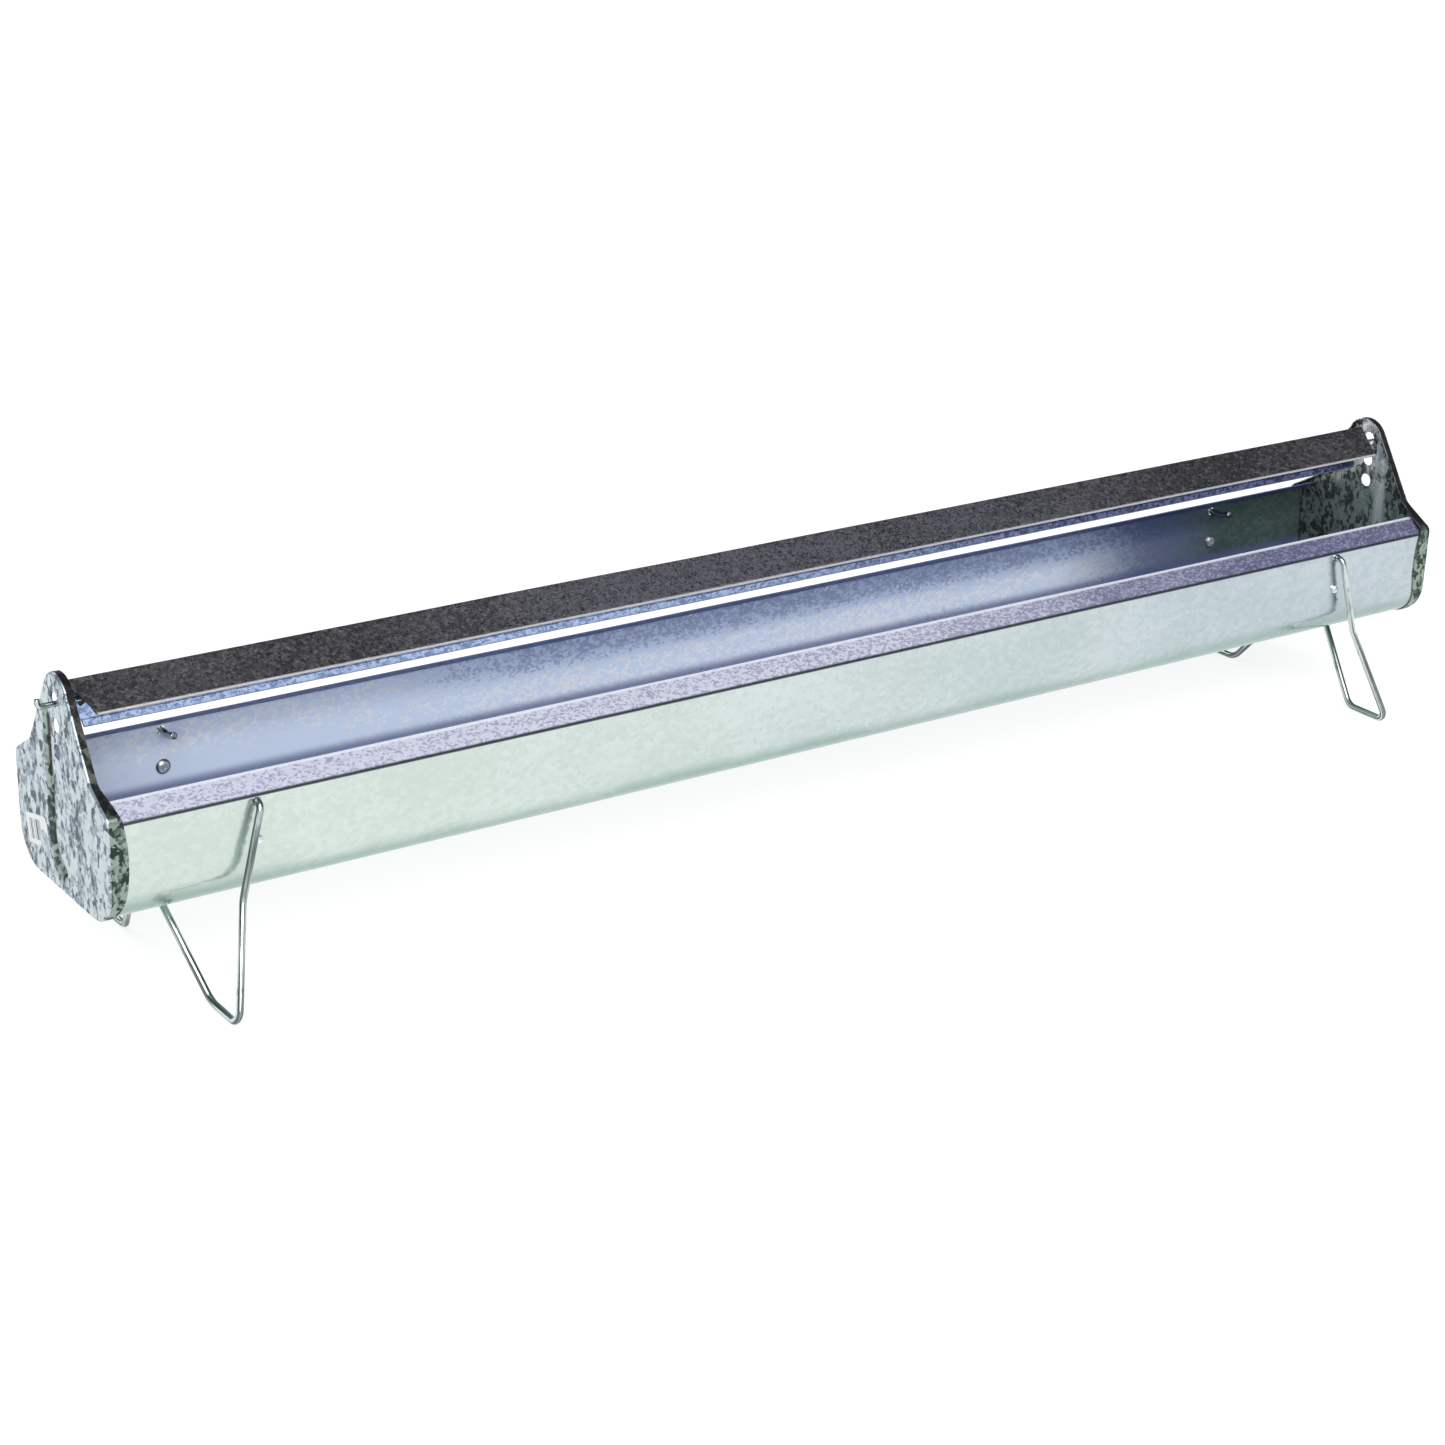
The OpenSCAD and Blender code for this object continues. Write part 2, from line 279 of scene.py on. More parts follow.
# %% [markdown]
# ## Finishes
# A `Finish` is a material being built, with the patterns that all the zinc here shares. Spangle comes from
# a Voronoi texture, whose cells grow from scattered seeds as zinc crystals do. Each cell's random colour
# serves twice: as its tone, and as the way its face leans. Masks are smooth rises, so zones blend softly.

# %% Finishes
class Finish:
    """A material under construction, with its Principled shader."""

    def __init__(self, name, **constants):
        self.material = bpy.data.materials.new(name)
        self.material.use_nodes = True
        self.tree = self.material.node_tree
        self.shader = next(n for n in self.tree.nodes if n.type == "BSDF_PRINCIPLED")
        for socket, constant in constants.items():
            self.shader.inputs[socket.replace("_", " ")].default_value = constant
        self.at = self.node("ShaderNodeTexCoord").outputs["Object"]
        self.facing = self.node("ShaderNodeNewGeometry").outputs["Normal"]

    def node(self, kind, settings=None, inputs=None):
        return add_node(self.tree, kind, settings, inputs)

    def value(self, kind, settings=None, inputs=None):
        """The first output of a new node."""
        return Value(self, self.node(kind, settings, inputs).outputs[0])

    def split(self, vector):
        """The three numbers of a vector."""
        parts = self.node("ShaderNodeSeparateXYZ", None, {0: vector})
        return [Value(self, parts.outputs[i]) for i in range(3)]

    def vector(self, operation, *terms):
        return self.node("ShaderNodeVectorMath", {"operation": operation}, dict(enumerate(terms))).outputs[0]

    def spread(self, colour, width):
        """A colour's three numbers as an offset each way, up to half of width."""
        middle = self.vector("SUBTRACT", colour, (0.5, 0.5, 0.5))
        scale = {"operation": "SCALE"}
        return self.node("ShaderNodeVectorMath", scale, {0: middle, "Scale": width}).outputs[0]

    def mix(self, factor, a, b):
        """From colour a to colour b."""
        return self.node("ShaderNodeMix", {"data_type": "RGBA"}, {0: factor, 6: a, 7: b}).outputs[2]

    def rise(self, value, low, high):
        """0 below low, 1 above high, and a smooth rise between; from 1 down to 0 when low is above high."""
        return self.value("ShaderNodeMapRange", {"interpolation_type": "SMOOTHSTEP"},
                          {0: value, 1: min(low, high), 2: max(low, high),
                           3: float(low > high), 4: float(low <= high)})

    def noise(self, size, detail, vector=None):
        """Soft blotches of about that size, in metres, from 0 to 1."""
        return self.value("ShaderNodeTexNoise", None,
                          {"Vector": vector or self.at, "Scale": 1 / size, "Detail": detail})

    def stretched(self, scale, vector=None):
        """A place times a scale along each axis, so that a pattern is drawn out where the scale is small."""
        return self.node("ShaderNodeMapping", None, {"Vector": vector or self.at, "Scale": scale}).outputs[0]

    def spangle(self, size, stretch=(1, 1, 1), warp=0.35):
        """Zinc crystals: cells of about that size with ragged borders. Gives a random tone and a random
        direction for each cell. The borders are ragged because the place that is looked up is first pushed
        about, by up to warp times the size, by noise a little finer than the cells."""
        border = {"Vector": self.at, "Scale": 1.3 / size, "Detail": 2.0}
        push = self.spread(self.node("ShaderNodeTexNoise", None, border).outputs["Color"], 2 * warp * size)
        spot = self.stretched(stretch, self.vector("ADD", self.at, push))
        cells = self.node("ShaderNodeTexVoronoi", None, {"Vector": spot, "Scale": 1 / size})
        return self.split(cells.outputs["Color"])[0], cells.outputs["Color"]

    def crystal_normal(self, direction, tilt, height, strength, distance):
        """The surface normal, tilted a little another way in each crystal, then roughened by a bump."""
        normal = self.vector("NORMALIZE", self.vector("ADD", self.facing, self.spread(direction, tilt)))
        self.bump(height, strength, distance, Normal=normal)

    def bump(self, height, strength, distance, **normal):
        self.feed("Normal", self.node("ShaderNodeBump", None, {"Strength": strength, "Distance": distance,
                                                               "Height": height, **normal}).outputs[0])

    def feed(self, socket, source):
        source = source.socket if isinstance(source, Value) else source
        self.tree.links.new(source, self.shader.inputs[socket])

    def outward(self, centre):
        """1 on faces that look away from a line along X through centre, 0 on faces that look towards it."""
        from_line = self.vector("MULTIPLY", self.vector("SUBTRACT", self.at, tuple(centre)), (0, 1, 1))
        dot = self.node("ShaderNodeVectorMath", {"operation": "DOT_PRODUCT"}, {0: from_line, 1: self.facing})
        return self.rise(Value(self, dot.outputs["Value"]), -0.5 * MM, 0.5 * MM)

    def along_map(self):
        """The piece's own UV map."""
        return self.node("ShaderNodeUVMap", {"uv_map": "along"}).outputs[0]


# %% [markdown]
# ## The trough's zinc
# Hot-dip zinc freezes in crystals a few millimetres across. On the smooth walls they hardly show, because
# the sheet was rolled after dipping. On the folded lips the bend has cracked and lifted them, so there the
# flecks are dark and hard. Inside, the sheet is dull, with a pale blue painted in for the bluish sky light it
# catches, and speckled and darker along the top. Painted shade makes the far end, under the cap, nearly
# black, and lays a shadow band low inside, below the front lip, and on the lips' undersides; it also darkens
# the lips towards the right. Outside, a darker green band of painted shade, the floor's shadow seen in the
# metal, runs along the foot, a painted dark reflection lines the rim fold, and a painted highlight runs along
# the lips' inner
# edges. One material covers all of this: masks by place mix the colours, a low Metallic keeps the inside from
# mirroring the dark sky, and each crystal leans the normal its own way, which gives the glitter of real
# spangle.

# %% Finish of the trough
def trough_finish():
    f = Finish("galvanised_trough_sheet", Specular_IOR_Level=0.5)
    x, _, z = f.split(f.at)
    outside = f.outward((0, 0, UNDER_Z + 44 * MM))
    shadow_blue = rgb(0.10, 0.13, 0.28)
    lip = f.rise(z, FOLD_Z - 0.2 * MM, FOLD_Z + 0.8 * MM)
    to_right = f.rise(x, -0.38, 0.46)
    tone, lean = f.spangle(3.2 * MM, (0.8, 1, 1))
    fine, _ = f.spangle(1.5 * MM, (0.7, 1, 1))
    smudge = f.noise(60 * MM, 4, f.stretched((0.5, 1, 1)))
    grit = f.noise(1.1 * MM, 2)

    pale = f.mix(to_right, rgb(0.625, 0.70, 0.66), rgb(0.51, 0.58, 0.61))
    dull = f.mix(to_right, rgb(0.54, 0.62, 0.575), rgb(0.42, 0.49, 0.52))
    wall = f.mix(f.rise(tone * 0.25 + smudge * 0.8 + grit * 0.3, 0.95, 0.45), pale, dull)
    # Painted shade: a darker green band along the foot stands for the floor's shadow seen in the metal.
    foot_reflected_shade = f.rise(z + (smudge - 0.5) * 12 * MM + grit * 2 * MM, UNDER_Z + 21 * MM, UNDER_Z + 8 * MM)
    wall = f.mix(foot_reflected_shade * 0.85, wall, rgb(0.22, 0.34, 0.30))

    high = f.rise(z, UNDER_Z + 34 * MM, UNDER_Z + 56 * MM)
    small = tone * 0.4 + fine * 0.45
    past_left = f.rise(x, -0.34, -0.14)
    lower = f.rise(z, UNDER_Z + 50 * MM, UNDER_Z + 40 * MM)
    band = high * (1 - past_left) + past_left * lower
    flecked = f.rise(small + smudge * 0.5 + high * past_left * 0.42, 0.92, 1.14)
    shine = f.rise(small + smudge * 0.6 + band * 0.30, 0.96, 1.12)
    # The inside's pale blue is painted light: it stands for the bluish sky light the sheet catches.
    inner = f.mix(high * past_left * 0.3, rgb(0.74, 0.85, 1.0), rgb(0.40, 0.50, 0.78))
    inner = f.mix(high * to_right * 0.4, inner, rgb(0.20, 0.28, 0.50))
    inner = f.mix(flecked * 0.6, inner, rgb(0.20, 0.26, 0.44))
    inner = f.mix(shine * 0.7, inner, rgb(0.97, 0.98, 1.0))
    # Painted shade: the far end of the inside, under the right cap, darkens to nearly black.
    drifted = x + (smudge - 0.5) * 0.08 + fine * 0.02
    inner = f.mix(f.rise(drifted, 0.25, 0.37) * 0.9, inner, rgb(0.06, 0.09, 0.18))
    far_end_shade = f.mix(f.rise(small, 0.35, 0.60), rgb(0.05, 0.085, 0.075), rgb(0.085, 0.12, 0.11))
    inner = f.mix(f.rise(drifted, 0.37, 0.44) * 0.95, inner, far_end_shade)
    inner = f.mix(f.rise(z, UNDER_Z + 30 * MM, UNDER_Z + 23 * MM) * 0.8, inner, shadow_blue)

    fleck, _ = f.spangle(1.2 * MM, (0.7, 1, 1))
    hard = f.rise(fleck * 0.6 + grit * 0.6 + to_right * 0.22 + smudge * 0.25, 0.70, 0.98)
    shaded = f.rise(x + (smudge - 0.5) * 0.3, 0.02, 0.34)
    lip_pale = f.mix(shaded, rgb(0.66, 0.67, 0.78), rgb(0.27, 0.28, 0.42))
    lip_dark = f.mix(shaded, rgb(0.28, 0.28, 0.42), rgb(0.07, 0.07, 0.14))
    folded = f.mix(hard * 0.75, lip_pale, lip_dark)
    # Painted highlight: a pale line along the lips' inner edges.
    lip_edge_highlight = f.rise(z, lip_top - 1.3 * MM, lip_top - 0.7 * MM)
    folded = f.mix(lip_edge_highlight * 0.8, folded, rgb(0.85, 0.87, 0.92))

    colour = f.mix(outside, f.mix(lip, inner, shadow_blue), f.mix(lip, wall, folded))
    # Painted reflection: a dark line along the outside of the rim fold stands for the dark reflection in the
    # bend.
    fold_dark_reflection = f.rise(abs(z - (FOLD_Z - 0.1 * MM)), 1.3 * MM, 0.5 * MM) * outside
    f.feed("Base Color", f.mix(fold_dark_reflection * 0.9, colour, rgb(0.03, 0.03, 0.04)))
    f.feed("Metallic", 0.12 + outside * 0.80 - outside * lip * 0.5)
    f.feed("Roughness", tone * 0.07 + smudge * 0.12 + lip * 0.16 + (1 - outside) * 0.12 + 0.10)
    f.crystal_normal(lean, 0.05, grit * 0.4 + fine * 0.6, 0.18, 0.05 * MM)
    return f.material


trough_zinc = trough_finish()
print("finish:", trough_zinc.name)

# %% [markdown]
# ## The end caps' zinc
# The caps are pressed from sheet with the full, coarse spangle: a camouflage of pale and slate-grey flecks,
# longer than they are wide. Two sizes of crystal and a slow drift are added and cut at two thresholds. The
# pressed groove is painted darker and greener, as painted shade in its hollow; the lower turned flange has
# the same darker, greener colours, and along the neck the flange is painted nearly black as shade. The inside
# of a cap is dark, with a light nose and a light groove.

# %% Finish of the end caps
GROOVE_Y, GROOVE_HALF_W, GROOVE_DEPTH = 13 * MM, 5 * MM, 2 * MM
GROOVE_TOP, GROOVE_LOW = 107 * MM, 34 * MM     # ends of its straight part, above the underside
GROOVE_TAIL_R, GROOVE_TAIL_TURN = 24 * MM, radians(70)


def groove_mask(f, across, z):
    """1 in the pressed groove: a straight band, and below it a band round an arc towards the front."""
    wide, narrow = GROOVE_HALF_W + 2.0 * MM, GROOVE_HALF_W - 0.4 * MM
    low, high = UNDER_Z + GROOVE_LOW, UNDER_Z + GROOVE_TOP
    between = f.rise(z, high + 1 * MM, high - 2 * MM) * f.rise(z, low - 0.5 * MM, low + 0.5 * MM)
    straight = f.rise(abs(across - GROOVE_Y), wide, narrow) * between
    side, drop = across - (GROOVE_Y - GROOVE_TAIL_R), z - low
    radius = (side * side + drop * drop).root()
    tail = f.rise(abs(radius - GROOVE_TAIL_R), wide, narrow) * f.rise(z, low + 0.5 * MM, low - 0.5 * MM)
    return straight + tail * f.rise(side, 6 * MM, 9 * MM)


def cap_finish(name, side):
    """side is -1 for the cap at negative X and 1 for the other, which is the same pressing turned round."""
    f = Finish(name, Specular_IOR_Level=0.5)
    x, y, z = f.split(f.at)
    facing_x = f.split(f.facing)[0]
    tone, lean = f.spangle(4.6 * MM, (1, 1.15, 0.68), 0.5)
    fine, _ = f.spangle(1.9 * MM, (1, 1, 0.7), 0.4)
    drift = f.noise(10 * MM, 3)
    grit = f.noise(0.8 * MM, 2)
    flange = f.rise(x * side, abs(FACE_X) - 0.9 * MM, abs(FACE_X) - 1.7 * MM)
    within = f.rise(facing_x * side, -0.3, -0.7)
    groove = groove_mask(f, y * -side, z)

    mottle = tone * 0.62 + fine * 0.38 + drift * 0.5
    mid = f.rise(mottle, 0.66, 0.82)
    dark = f.rise(mottle, 0.90, 1.02)
    face = f.mix(mid, rgb(0.50, 0.57, 0.60), rgb(0.29, 0.35, 0.38))
    face = f.mix(dark, face, rgb(0.11, 0.14, 0.165))
    # Painted shade in the groove's hollow; the same darker, greener colours are the lower flange's own tone.
    groove_shade_and_flange_tone = f.mix(f.rise(mottle, 0.62, 0.88), rgb(0.27, 0.34, 0.29), rgb(0.03, 0.05, 0.04))
    low = f.rise(z, UNDER_Z + 74 * MM, UNDER_Z + 60 * MM)
    # Painted shade: the flange along the neck is painted nearly black.
    neck_flange_shade = f.mix(f.rise(mottle, 0.7, 0.9), rgb(0.055, 0.055, 0.05), rgb(0.02, 0.02, 0.02))
    face = f.mix(groove * 0.85, face, groove_shade_and_flange_tone)

    nose = f.rise(z + (drift - 0.5) * 40 * MM, UNDER_Z + 84 * MM, UNDER_Z + 112 * MM)
    shade = f.mix(nose, rgb(0.24, 0.31, 0.28), rgb(0.66, 0.71, 0.72))
    back = f.mix(f.rise(mottle, 0.62, 0.98), shade, rgb(0.035, 0.045, 0.04))
    back = f.mix(groove * (0.75 - dark * 0.5), back, rgb(0.46, 0.52, 0.50))
    colour = f.mix(flange, face, f.mix(low, neck_flange_shade, groove_shade_and_flange_tone))
    f.feed("Base Color", f.mix(within, colour, back))
    f.feed("Metallic", 0.9 - within * 0.4)
    f.feed("Roughness", fine * 0.16 + tone * 0.14 + dark * 0.1 + 0.24)
    f.crystal_normal(lean, 0.12, fine * 0.7 + grit * 0.3, 0.25, 0.06 * MM)
    return f.material


left_cap_zinc = cap_finish("spangled_cap_sheet_left", -1)
right_cap_zinc = cap_finish("spangled_cap_sheet_right", 1)
print("finishes:", left_cap_zinc.name, right_cap_zinc.name)

# %% [markdown]
# ## The guard bar's zinc
# The bar is folded from a darker sheet with a tight, sparkling grain on top and lighter along its middle,
# with a painted highlight on the ridge and along the hems. How far a place lies down the wing from the ridge
# gives those lines. The underside, which sees only the trough, has the trough's blue inside painted on as its
# reflection, darker towards the right.

# %% Finish of the guard bar
WING_W, BAR_ANGLE, BAR_TURN = 29 * MM, radians(52), radians(34)
RIDGE_UP = WING_W / 2 * cos(BAR_ANGLE / 2)


def bar_finish():
    f = Finish("guard_bar_sheet", Specular_IOR_Level=0.5)
    x, y, z = f.split(f.at)
    outside = f.outward(axle)
    off_y, off_z = y - float(axle[1]), z - float(axle[2])
    height = off_y * sin(BAR_TURN) + off_z * cos(BAR_TURN)
    fall = (RIDGE_UP - height) * (1 / cos(BAR_ANGLE / 2))
    tone, lean = f.spangle(2.0 * MM, (0.8, 1, 1))
    fine, _ = f.spangle(0.9 * MM)
    smudge = f.noise(40 * MM, 4, f.stretched((0.4, 1, 1)))
    grain = fine * 0.8 + tone * 0.35
    worn = f.rise(smudge + tone * 0.3, 0.45, 0.80)
    top = f.mix(worn, rgb(0.085, 0.083, 0.083), rgb(0.150, 0.146, 0.146))
    top = f.mix(f.rise(grain, 0.80, 1.0) * 0.4, top, rgb(0.38, 0.37, 0.38))
    top = f.mix(f.rise(grain, 0.42, 0.28) * 0.6, top, rgb(0.03, 0.03, 0.035))
    middle = f.rise(abs(x), 0.38, 0.10)
    top = f.mix(middle * f.rise(fine + smudge * 0.5, 0.3, 0.8) * 0.45, top, rgb(0.30, 0.30, 0.36))
    # Painted highlight: a pale line along the hem's edge and along the ridge.
    hem = f.rise(fall, WING_W - 1.3 * MM, WING_W - 0.7 * MM)
    ridge = f.rise(fall, 1.3 * MM, 0.5 * MM)
    edge_highlight = f.rise(hem + ridge * (0.45 + smudge * 0.5), 0, 1)
    top = f.mix(edge_highlight * 0.8, top, rgb(0.52, 0.53, 0.56))
    to_right = f.rise(x, -0.20, 0.30)
    # Painted reflection: the underside takes the trough's blue inside, darker towards the right as that
    # inside is.
    pale = f.mix(to_right, rgb(0.48, 0.60, 0.84), rgb(0.13, 0.16, 0.31))
    deep = f.mix(to_right, rgb(0.24, 0.32, 0.52), rgb(0.04, 0.05, 0.11))
    trough_reflection = f.mix(f.rise(tone * 0.6 + fine * 0.5, 0.4, 0.75), pale, deep)
    f.feed("Base Color", f.mix(outside, trough_reflection, top))
    f.feed("Metallic", 0.9 - edge_highlight * 0.3)
    f.feed("Roughness", tone * 0.12 + fine * 0.12 + 0.28)
    f.crystal_normal(lean, 0.14, fine, 0.3, 0.05 * MM)
    return f.material


bar_zinc = bar_finish()
print("finish:", bar_zinc.name)

# %% [markdown]
# ## Drawn wire
# Galvanised wire is bright, with long drawing marks and dull patches where the zinc ran. The same marks are
# painted dark along the wire as streaks that stand for the dark reflections down its sides. The marks follow
# the wire round its bends, so this finish reads the wire's own UV map: U is the distance along it in metres,
# V goes once round. A rivet's map holds its outline instead, as parts of the head's radius, so that the
# finish can darken a ring round the head's rim as painted shade.

# %% Finish of the wires and the rivets
def wire_finish():
    f = Finish("galvanised_wire", Metallic=1.0)
    uv = f.along_map()
    draw_marks_and_reflection_streaks = f.noise(1, 4, f.stretched((10, 5, 1), uv))
    runs = f.noise(1, 3, f.stretched((90, 2, 1), uv))
    # Painted reflection: dark streaks along the wire stand for its dark reflected sides; the same noise gives
    # the drawing marks' bump and roughness.
    colour = f.mix(f.rise(draw_marks_and_reflection_streaks, 0.42, 0.58), rgb(0.62, 0.68, 0.67), rgb(0.11, 0.14, 0.13))
    f.feed("Base Color", f.mix(f.rise(runs, 0.52, 0.68) * 0.65, colour, rgb(0.17, 0.20, 0.20)))
    f.feed("Roughness", draw_marks_and_reflection_streaks * 0.18 + runs * 0.12 + 0.05)
    f.bump(draw_marks_and_reflection_streaks, 0.2, 0.05 * MM)
    return f.material


def rivet_finish():
    f = Finish("rivet_metal", Metallic=0.75)
    radius = f.split(f.along_map())[0]
    brushed = f.noise(0.5 * MM, 3)
    worn = f.noise(3 * MM, 2)
    colour = f.mix(f.rise(worn, 0.45, 0.65), rgb(0.80, 0.83, 0.85), rgb(0.50, 0.53, 0.55))
    # Painted shade: a dark ring round the rim of the head.
    f.feed("Base Color", f.mix(f.rise(radius, 0.62, 0.86) * 0.85, colour, rgb(0.10, 0.11, 0.12)))
    f.feed("Roughness", brushed * 0.15 + worn * 0.1 + 0.14)
    f.bump(brushed, 0.15, 0.03 * MM)
    return f.material


wire_zinc, rivet_metal = wire_finish(), rivet_finish()
print("finishes:", wire_zinc.name, rivet_metal.name)

# %% [markdown]
# ## The label
# A white sticker with plain bars of uneven width and nothing to read. The bars come from one random number
# for each narrow column of the sticker's own UV map.

# %% Finish of the label
def label_finish():
    f = Finish("white_sticker", Roughness=0.55)
    u, v, _ = f.split(f.along_map())
    columns, seed = 40, (3.0, 5.0)
    spot = {0: (u * columns).floor(), 1: seed[0], 2: seed[1]}
    column = f.node("ShaderNodeCombineXYZ", None, spot).outputs[0]
    chance = f.value("ShaderNodeTexWhiteNoise", {"noise_dimensions": "3D"}, {"Vector": column})
    window = f.rise(abs(u - 0.40), 0.27, 0.26) * f.rise(abs(v - 0.50), 0.34, 0.33)
    bars = f.rise(chance, 0.47, 0.48) * window
    paper = f.mix(f.noise(3 * MM, 4), rgb(0.60, 0.63, 0.62), rgb(0.70, 0.72, 0.72))
    f.feed("Base Color", f.mix(bars * 0.95, paper, rgb(0.05, 0.05, 0.07)))
    return f.material


sticker = label_finish()
print("finish:", sticker.name)

# %% [markdown]
# ## Waves and welds in sheet metal
# Long folded sheet is never quite flat. A sum of a few slow sine waves, seeded so that it is the same each
# time, pushes it in and out by a fraction of a millimetre. The spot welds that hold a cap to the trough dent
# both sheets together, so cap and trough share one dent function.

# %% Waves and dents
def smooth(value, low, high):
    """0 below low, 1 above high, and 3t^2 - 2t^3 between."""
    t = np.clip((value - low) / (high - low), 0, 1)
    return t * t * (3 - 2 * t)


def waves(seed, a, b, length_a, length_b):
    """Mean of five sin(2 pi (a p / length_a + b q / length_b) + phase), so within -1 to 1. p is random from
    0.5 to 2.2, q from -1.5 to 1.5."""
    rng = np.random.default_rng(seed)
    p, q, phase = (rng.uniform(low, high, 5) for low, high in ((0.5, 2.2), (-1.5, 1.5), (0, 6.3)))
    total = np.zeros(np.broadcast(a, b).shape)
    for k in range(len(p)):
        total = total + np.sin(2 * np.pi * (a * p[k] / length_a + b * q[k] / length_b) + phase[k])
    return total / len(p)


WELD_X = abs(FACE_X) - 6.5 * MM
WELD_HEIGHTS = np.array([28, 44]) * MM
WELD_R, WELD_DEPTH, WELD_RING = 2.4 * MM, 0.32 * MM, 0.07 * MM


def weld_dent(x, z):
    """Depth of the spot welds at a place on a wall: a dish cos^2 of the distance, inside a low raised ring,
    a bell curve round 1.15 times the dish's radius."""
    d = np.min([np.hypot(np.abs(x) - WELD_X, z - UNDER_Z - h) for h in WELD_HEIGHTS], axis=0)
    dish = WELD_DEPTH * np.cos(np.clip(d / WELD_R, 0, 1) * np.pi / 2) ** 2
    return dish - WELD_RING * np.exp(-((d - 1.15 * WELD_R) / (0.25 * WELD_R)) ** 2)


# %% [markdown]
# ## Punched holes
# A hole in a gridded sheet takes two steps: the quads whose middle is inside the hole are left out, and the
# grid points next to its rim slide onto the circle. The sheet keeps its thickness there, because Solidify
# closes the rim.

# %% Punch a hole in a grid
def punch(a, b, keep, centre, radius, pitch):
    """Slides points of the flat grid (a, b) that are within about a pitch of the circle onto it, along the
    line to its centre, and takes the quads whose middle is inside it out of keep."""
    da, db = a - centre[0], b - centre[1]
    d = np.hypot(da, db)
    middle = (d[:-1, :-1] + d[1:, :-1] + d[1:, 1:] + d[:-1, 1:]) / 4
    keep &= middle > radius
    near = (d > radius - 0.95 * pitch) & (d < radius + 0.45 * pitch)
    pull = np.where(near, radius / np.maximum(d, 1e-9), 1)
    return centre[0] + da * pull, centre[1] + db * pull


# %% [markdown]
# ## The trough
# Its section is a route of six corners: lip, rim fold, bottom corner, and the same back up. Carried along X,
# it is a surface of two parameters, the place along X and the distance walked round the section. Stations
# are close together where there is something small to shape, at the hook holes and the spot welds. The waves
# die out near the caps and the stands, where other pieces touch the sheet.

# %% Trough
BODY_HALF_W = 64.25 * MM
WALL_SLOPE = tan(radians(1.4))
CORNER_R = 25 * MM
LIP_W = 16.5 * MM
LIP_SLOPE = radians(30)
RIM_R = 1.6 * MM
NEST = 1.5 * SHEET + SEAM                      # from the outside of a cap's flange to the wall's middle
HOOK_HOLE_R, HOLE_PITCH = 2.6 * MM, 0.7 * MM
foot_y = BODY_HALF_W - WALL_H * WALL_SLOPE
floor_y, rim_y = foot_y - NEST, BODY_HALF_W - NEST
half_section = [(-rim_y + LIP_W * cos(LIP_SLOPE), WALL_H + LIP_W * sin(LIP_SLOPE)), (-rim_y, WALL_H),
                (-floor_y, NEST)]
section = rounded_route(half_section + [(-y, z) for y, z in half_section[::-1]],
                        [0, RIM_R, CORNER_R - NEST, CORNER_R - NEST, RIM_R, 0], 4 * MM)
walked = along(section)


def section_at(s):
    """Y, Z and the outward normal of the section at the distance s. The normal is a quarter turn from the
    line between the places a step before and a step after."""
    step = 0.4 * MM
    before, (y, z), after = ([np.interp(at, walked, line) for line in section.T]
                             for at in (s - step, s, s + step))
    dy, dz = after[0] - before[0], after[1] - before[1]
    size = np.maximum(np.hypot(dy, dz), 1e-9)
    return y, z + UNDER_Z, dz / size, -dy / size


def front_distance(height):
    """Distance walked to a height on the front wall."""
    front = slice(0, len(section) // 2)
    order = np.argsort(section[front, 1])
    on_wall = section[front][order, 0] < -floor_y + 0.1 * MM
    return np.interp(height, section[front][order, 1][on_wall], walked[front][order][on_wall])


hook_s = front_distance(hook[2] - UNDER_Z)
weld_s = front_distance(np.array([52, 24]) * MM)   # from above the upper weld to below the lower one
round_hole = np.arange(-5, 5.1) * HOLE_PITCH
fine_s = np.concatenate([hook_s + round_hole, np.arange(weld_s[0], weld_s[1], 1.0 * MM)])
s_line = np.unique(np.round(np.concatenate([walked, fine_s, walked[-1] - fine_s]), 5))
s_line = s_line[np.concatenate([[True], np.diff(s_line) > 0.25 * MM])]
s_line[-1] = walked[-1]
end_x = abs(FACE_X) - SHEET
x_half = np.concatenate([np.arange(0, end_x, 6 * MM), hook[0] + round_hole,
                         np.arange(WELD_X - 4 * MM, WELD_X + 4.1 * MM, 0.9 * MM), [end_x]])
x_half = np.unique(np.round(x_half, 5))
x_line = np.concatenate([-x_half[:0:-1], x_half])
X, S = np.meshgrid(x_line, s_line, indexing="ij")
keep = np.ones((len(x_line) - 1, len(s_line) - 1), bool)
for centre_x in (-hook[0], hook[0]):
    for centre_s in (hook_s, walked[-1] - hook_s):
        X, S = punch(X, S, keep, (centre_x, centre_s), HOOK_HOLE_R, HOLE_PITCH)
Y, Z, NY, NZ = section_at(S)
from_stand = np.abs(np.abs(X) - hook[0] - 15 * MM)
calm = smooth(end_x - np.abs(X), 8 * MM, 70 * MM) * smooth(from_stand, 32 * MM, 60 * MM)
on_wall = smooth(Z, UNDER_Z + 22 * MM, UNDER_Z + 38 * MM) * smooth(Z, FOLD_Z, FOLD_Z - 18 * MM)
on_lip = smooth(Z, FOLD_Z + 1 * MM, FOLD_Z + 8 * MM)
on_floor = smooth(Z, UNDER_Z + 4 * MM, UNDER_Z + 2 * MM)
push = 0.30 * MM * waves(3, X, Z, 0.21, 0.09) * on_wall * calm
push += 0.35 * MM * waves(5, X, 0 * X, 0.30, 1) * on_lip * calm
push -= 0.20 * MM * (1 + waves(7, X, Y, 0.26, 0.2)) * on_floor * calm
upright = smooth(np.abs(NY), 0.9, 0.99) * (Z < FOLD_Z - 4 * MM)
push -= weld_dent(X, Z) * upright
trough_points = np.stack([X, Y + NY * push, Z + NZ * push], axis=-1)
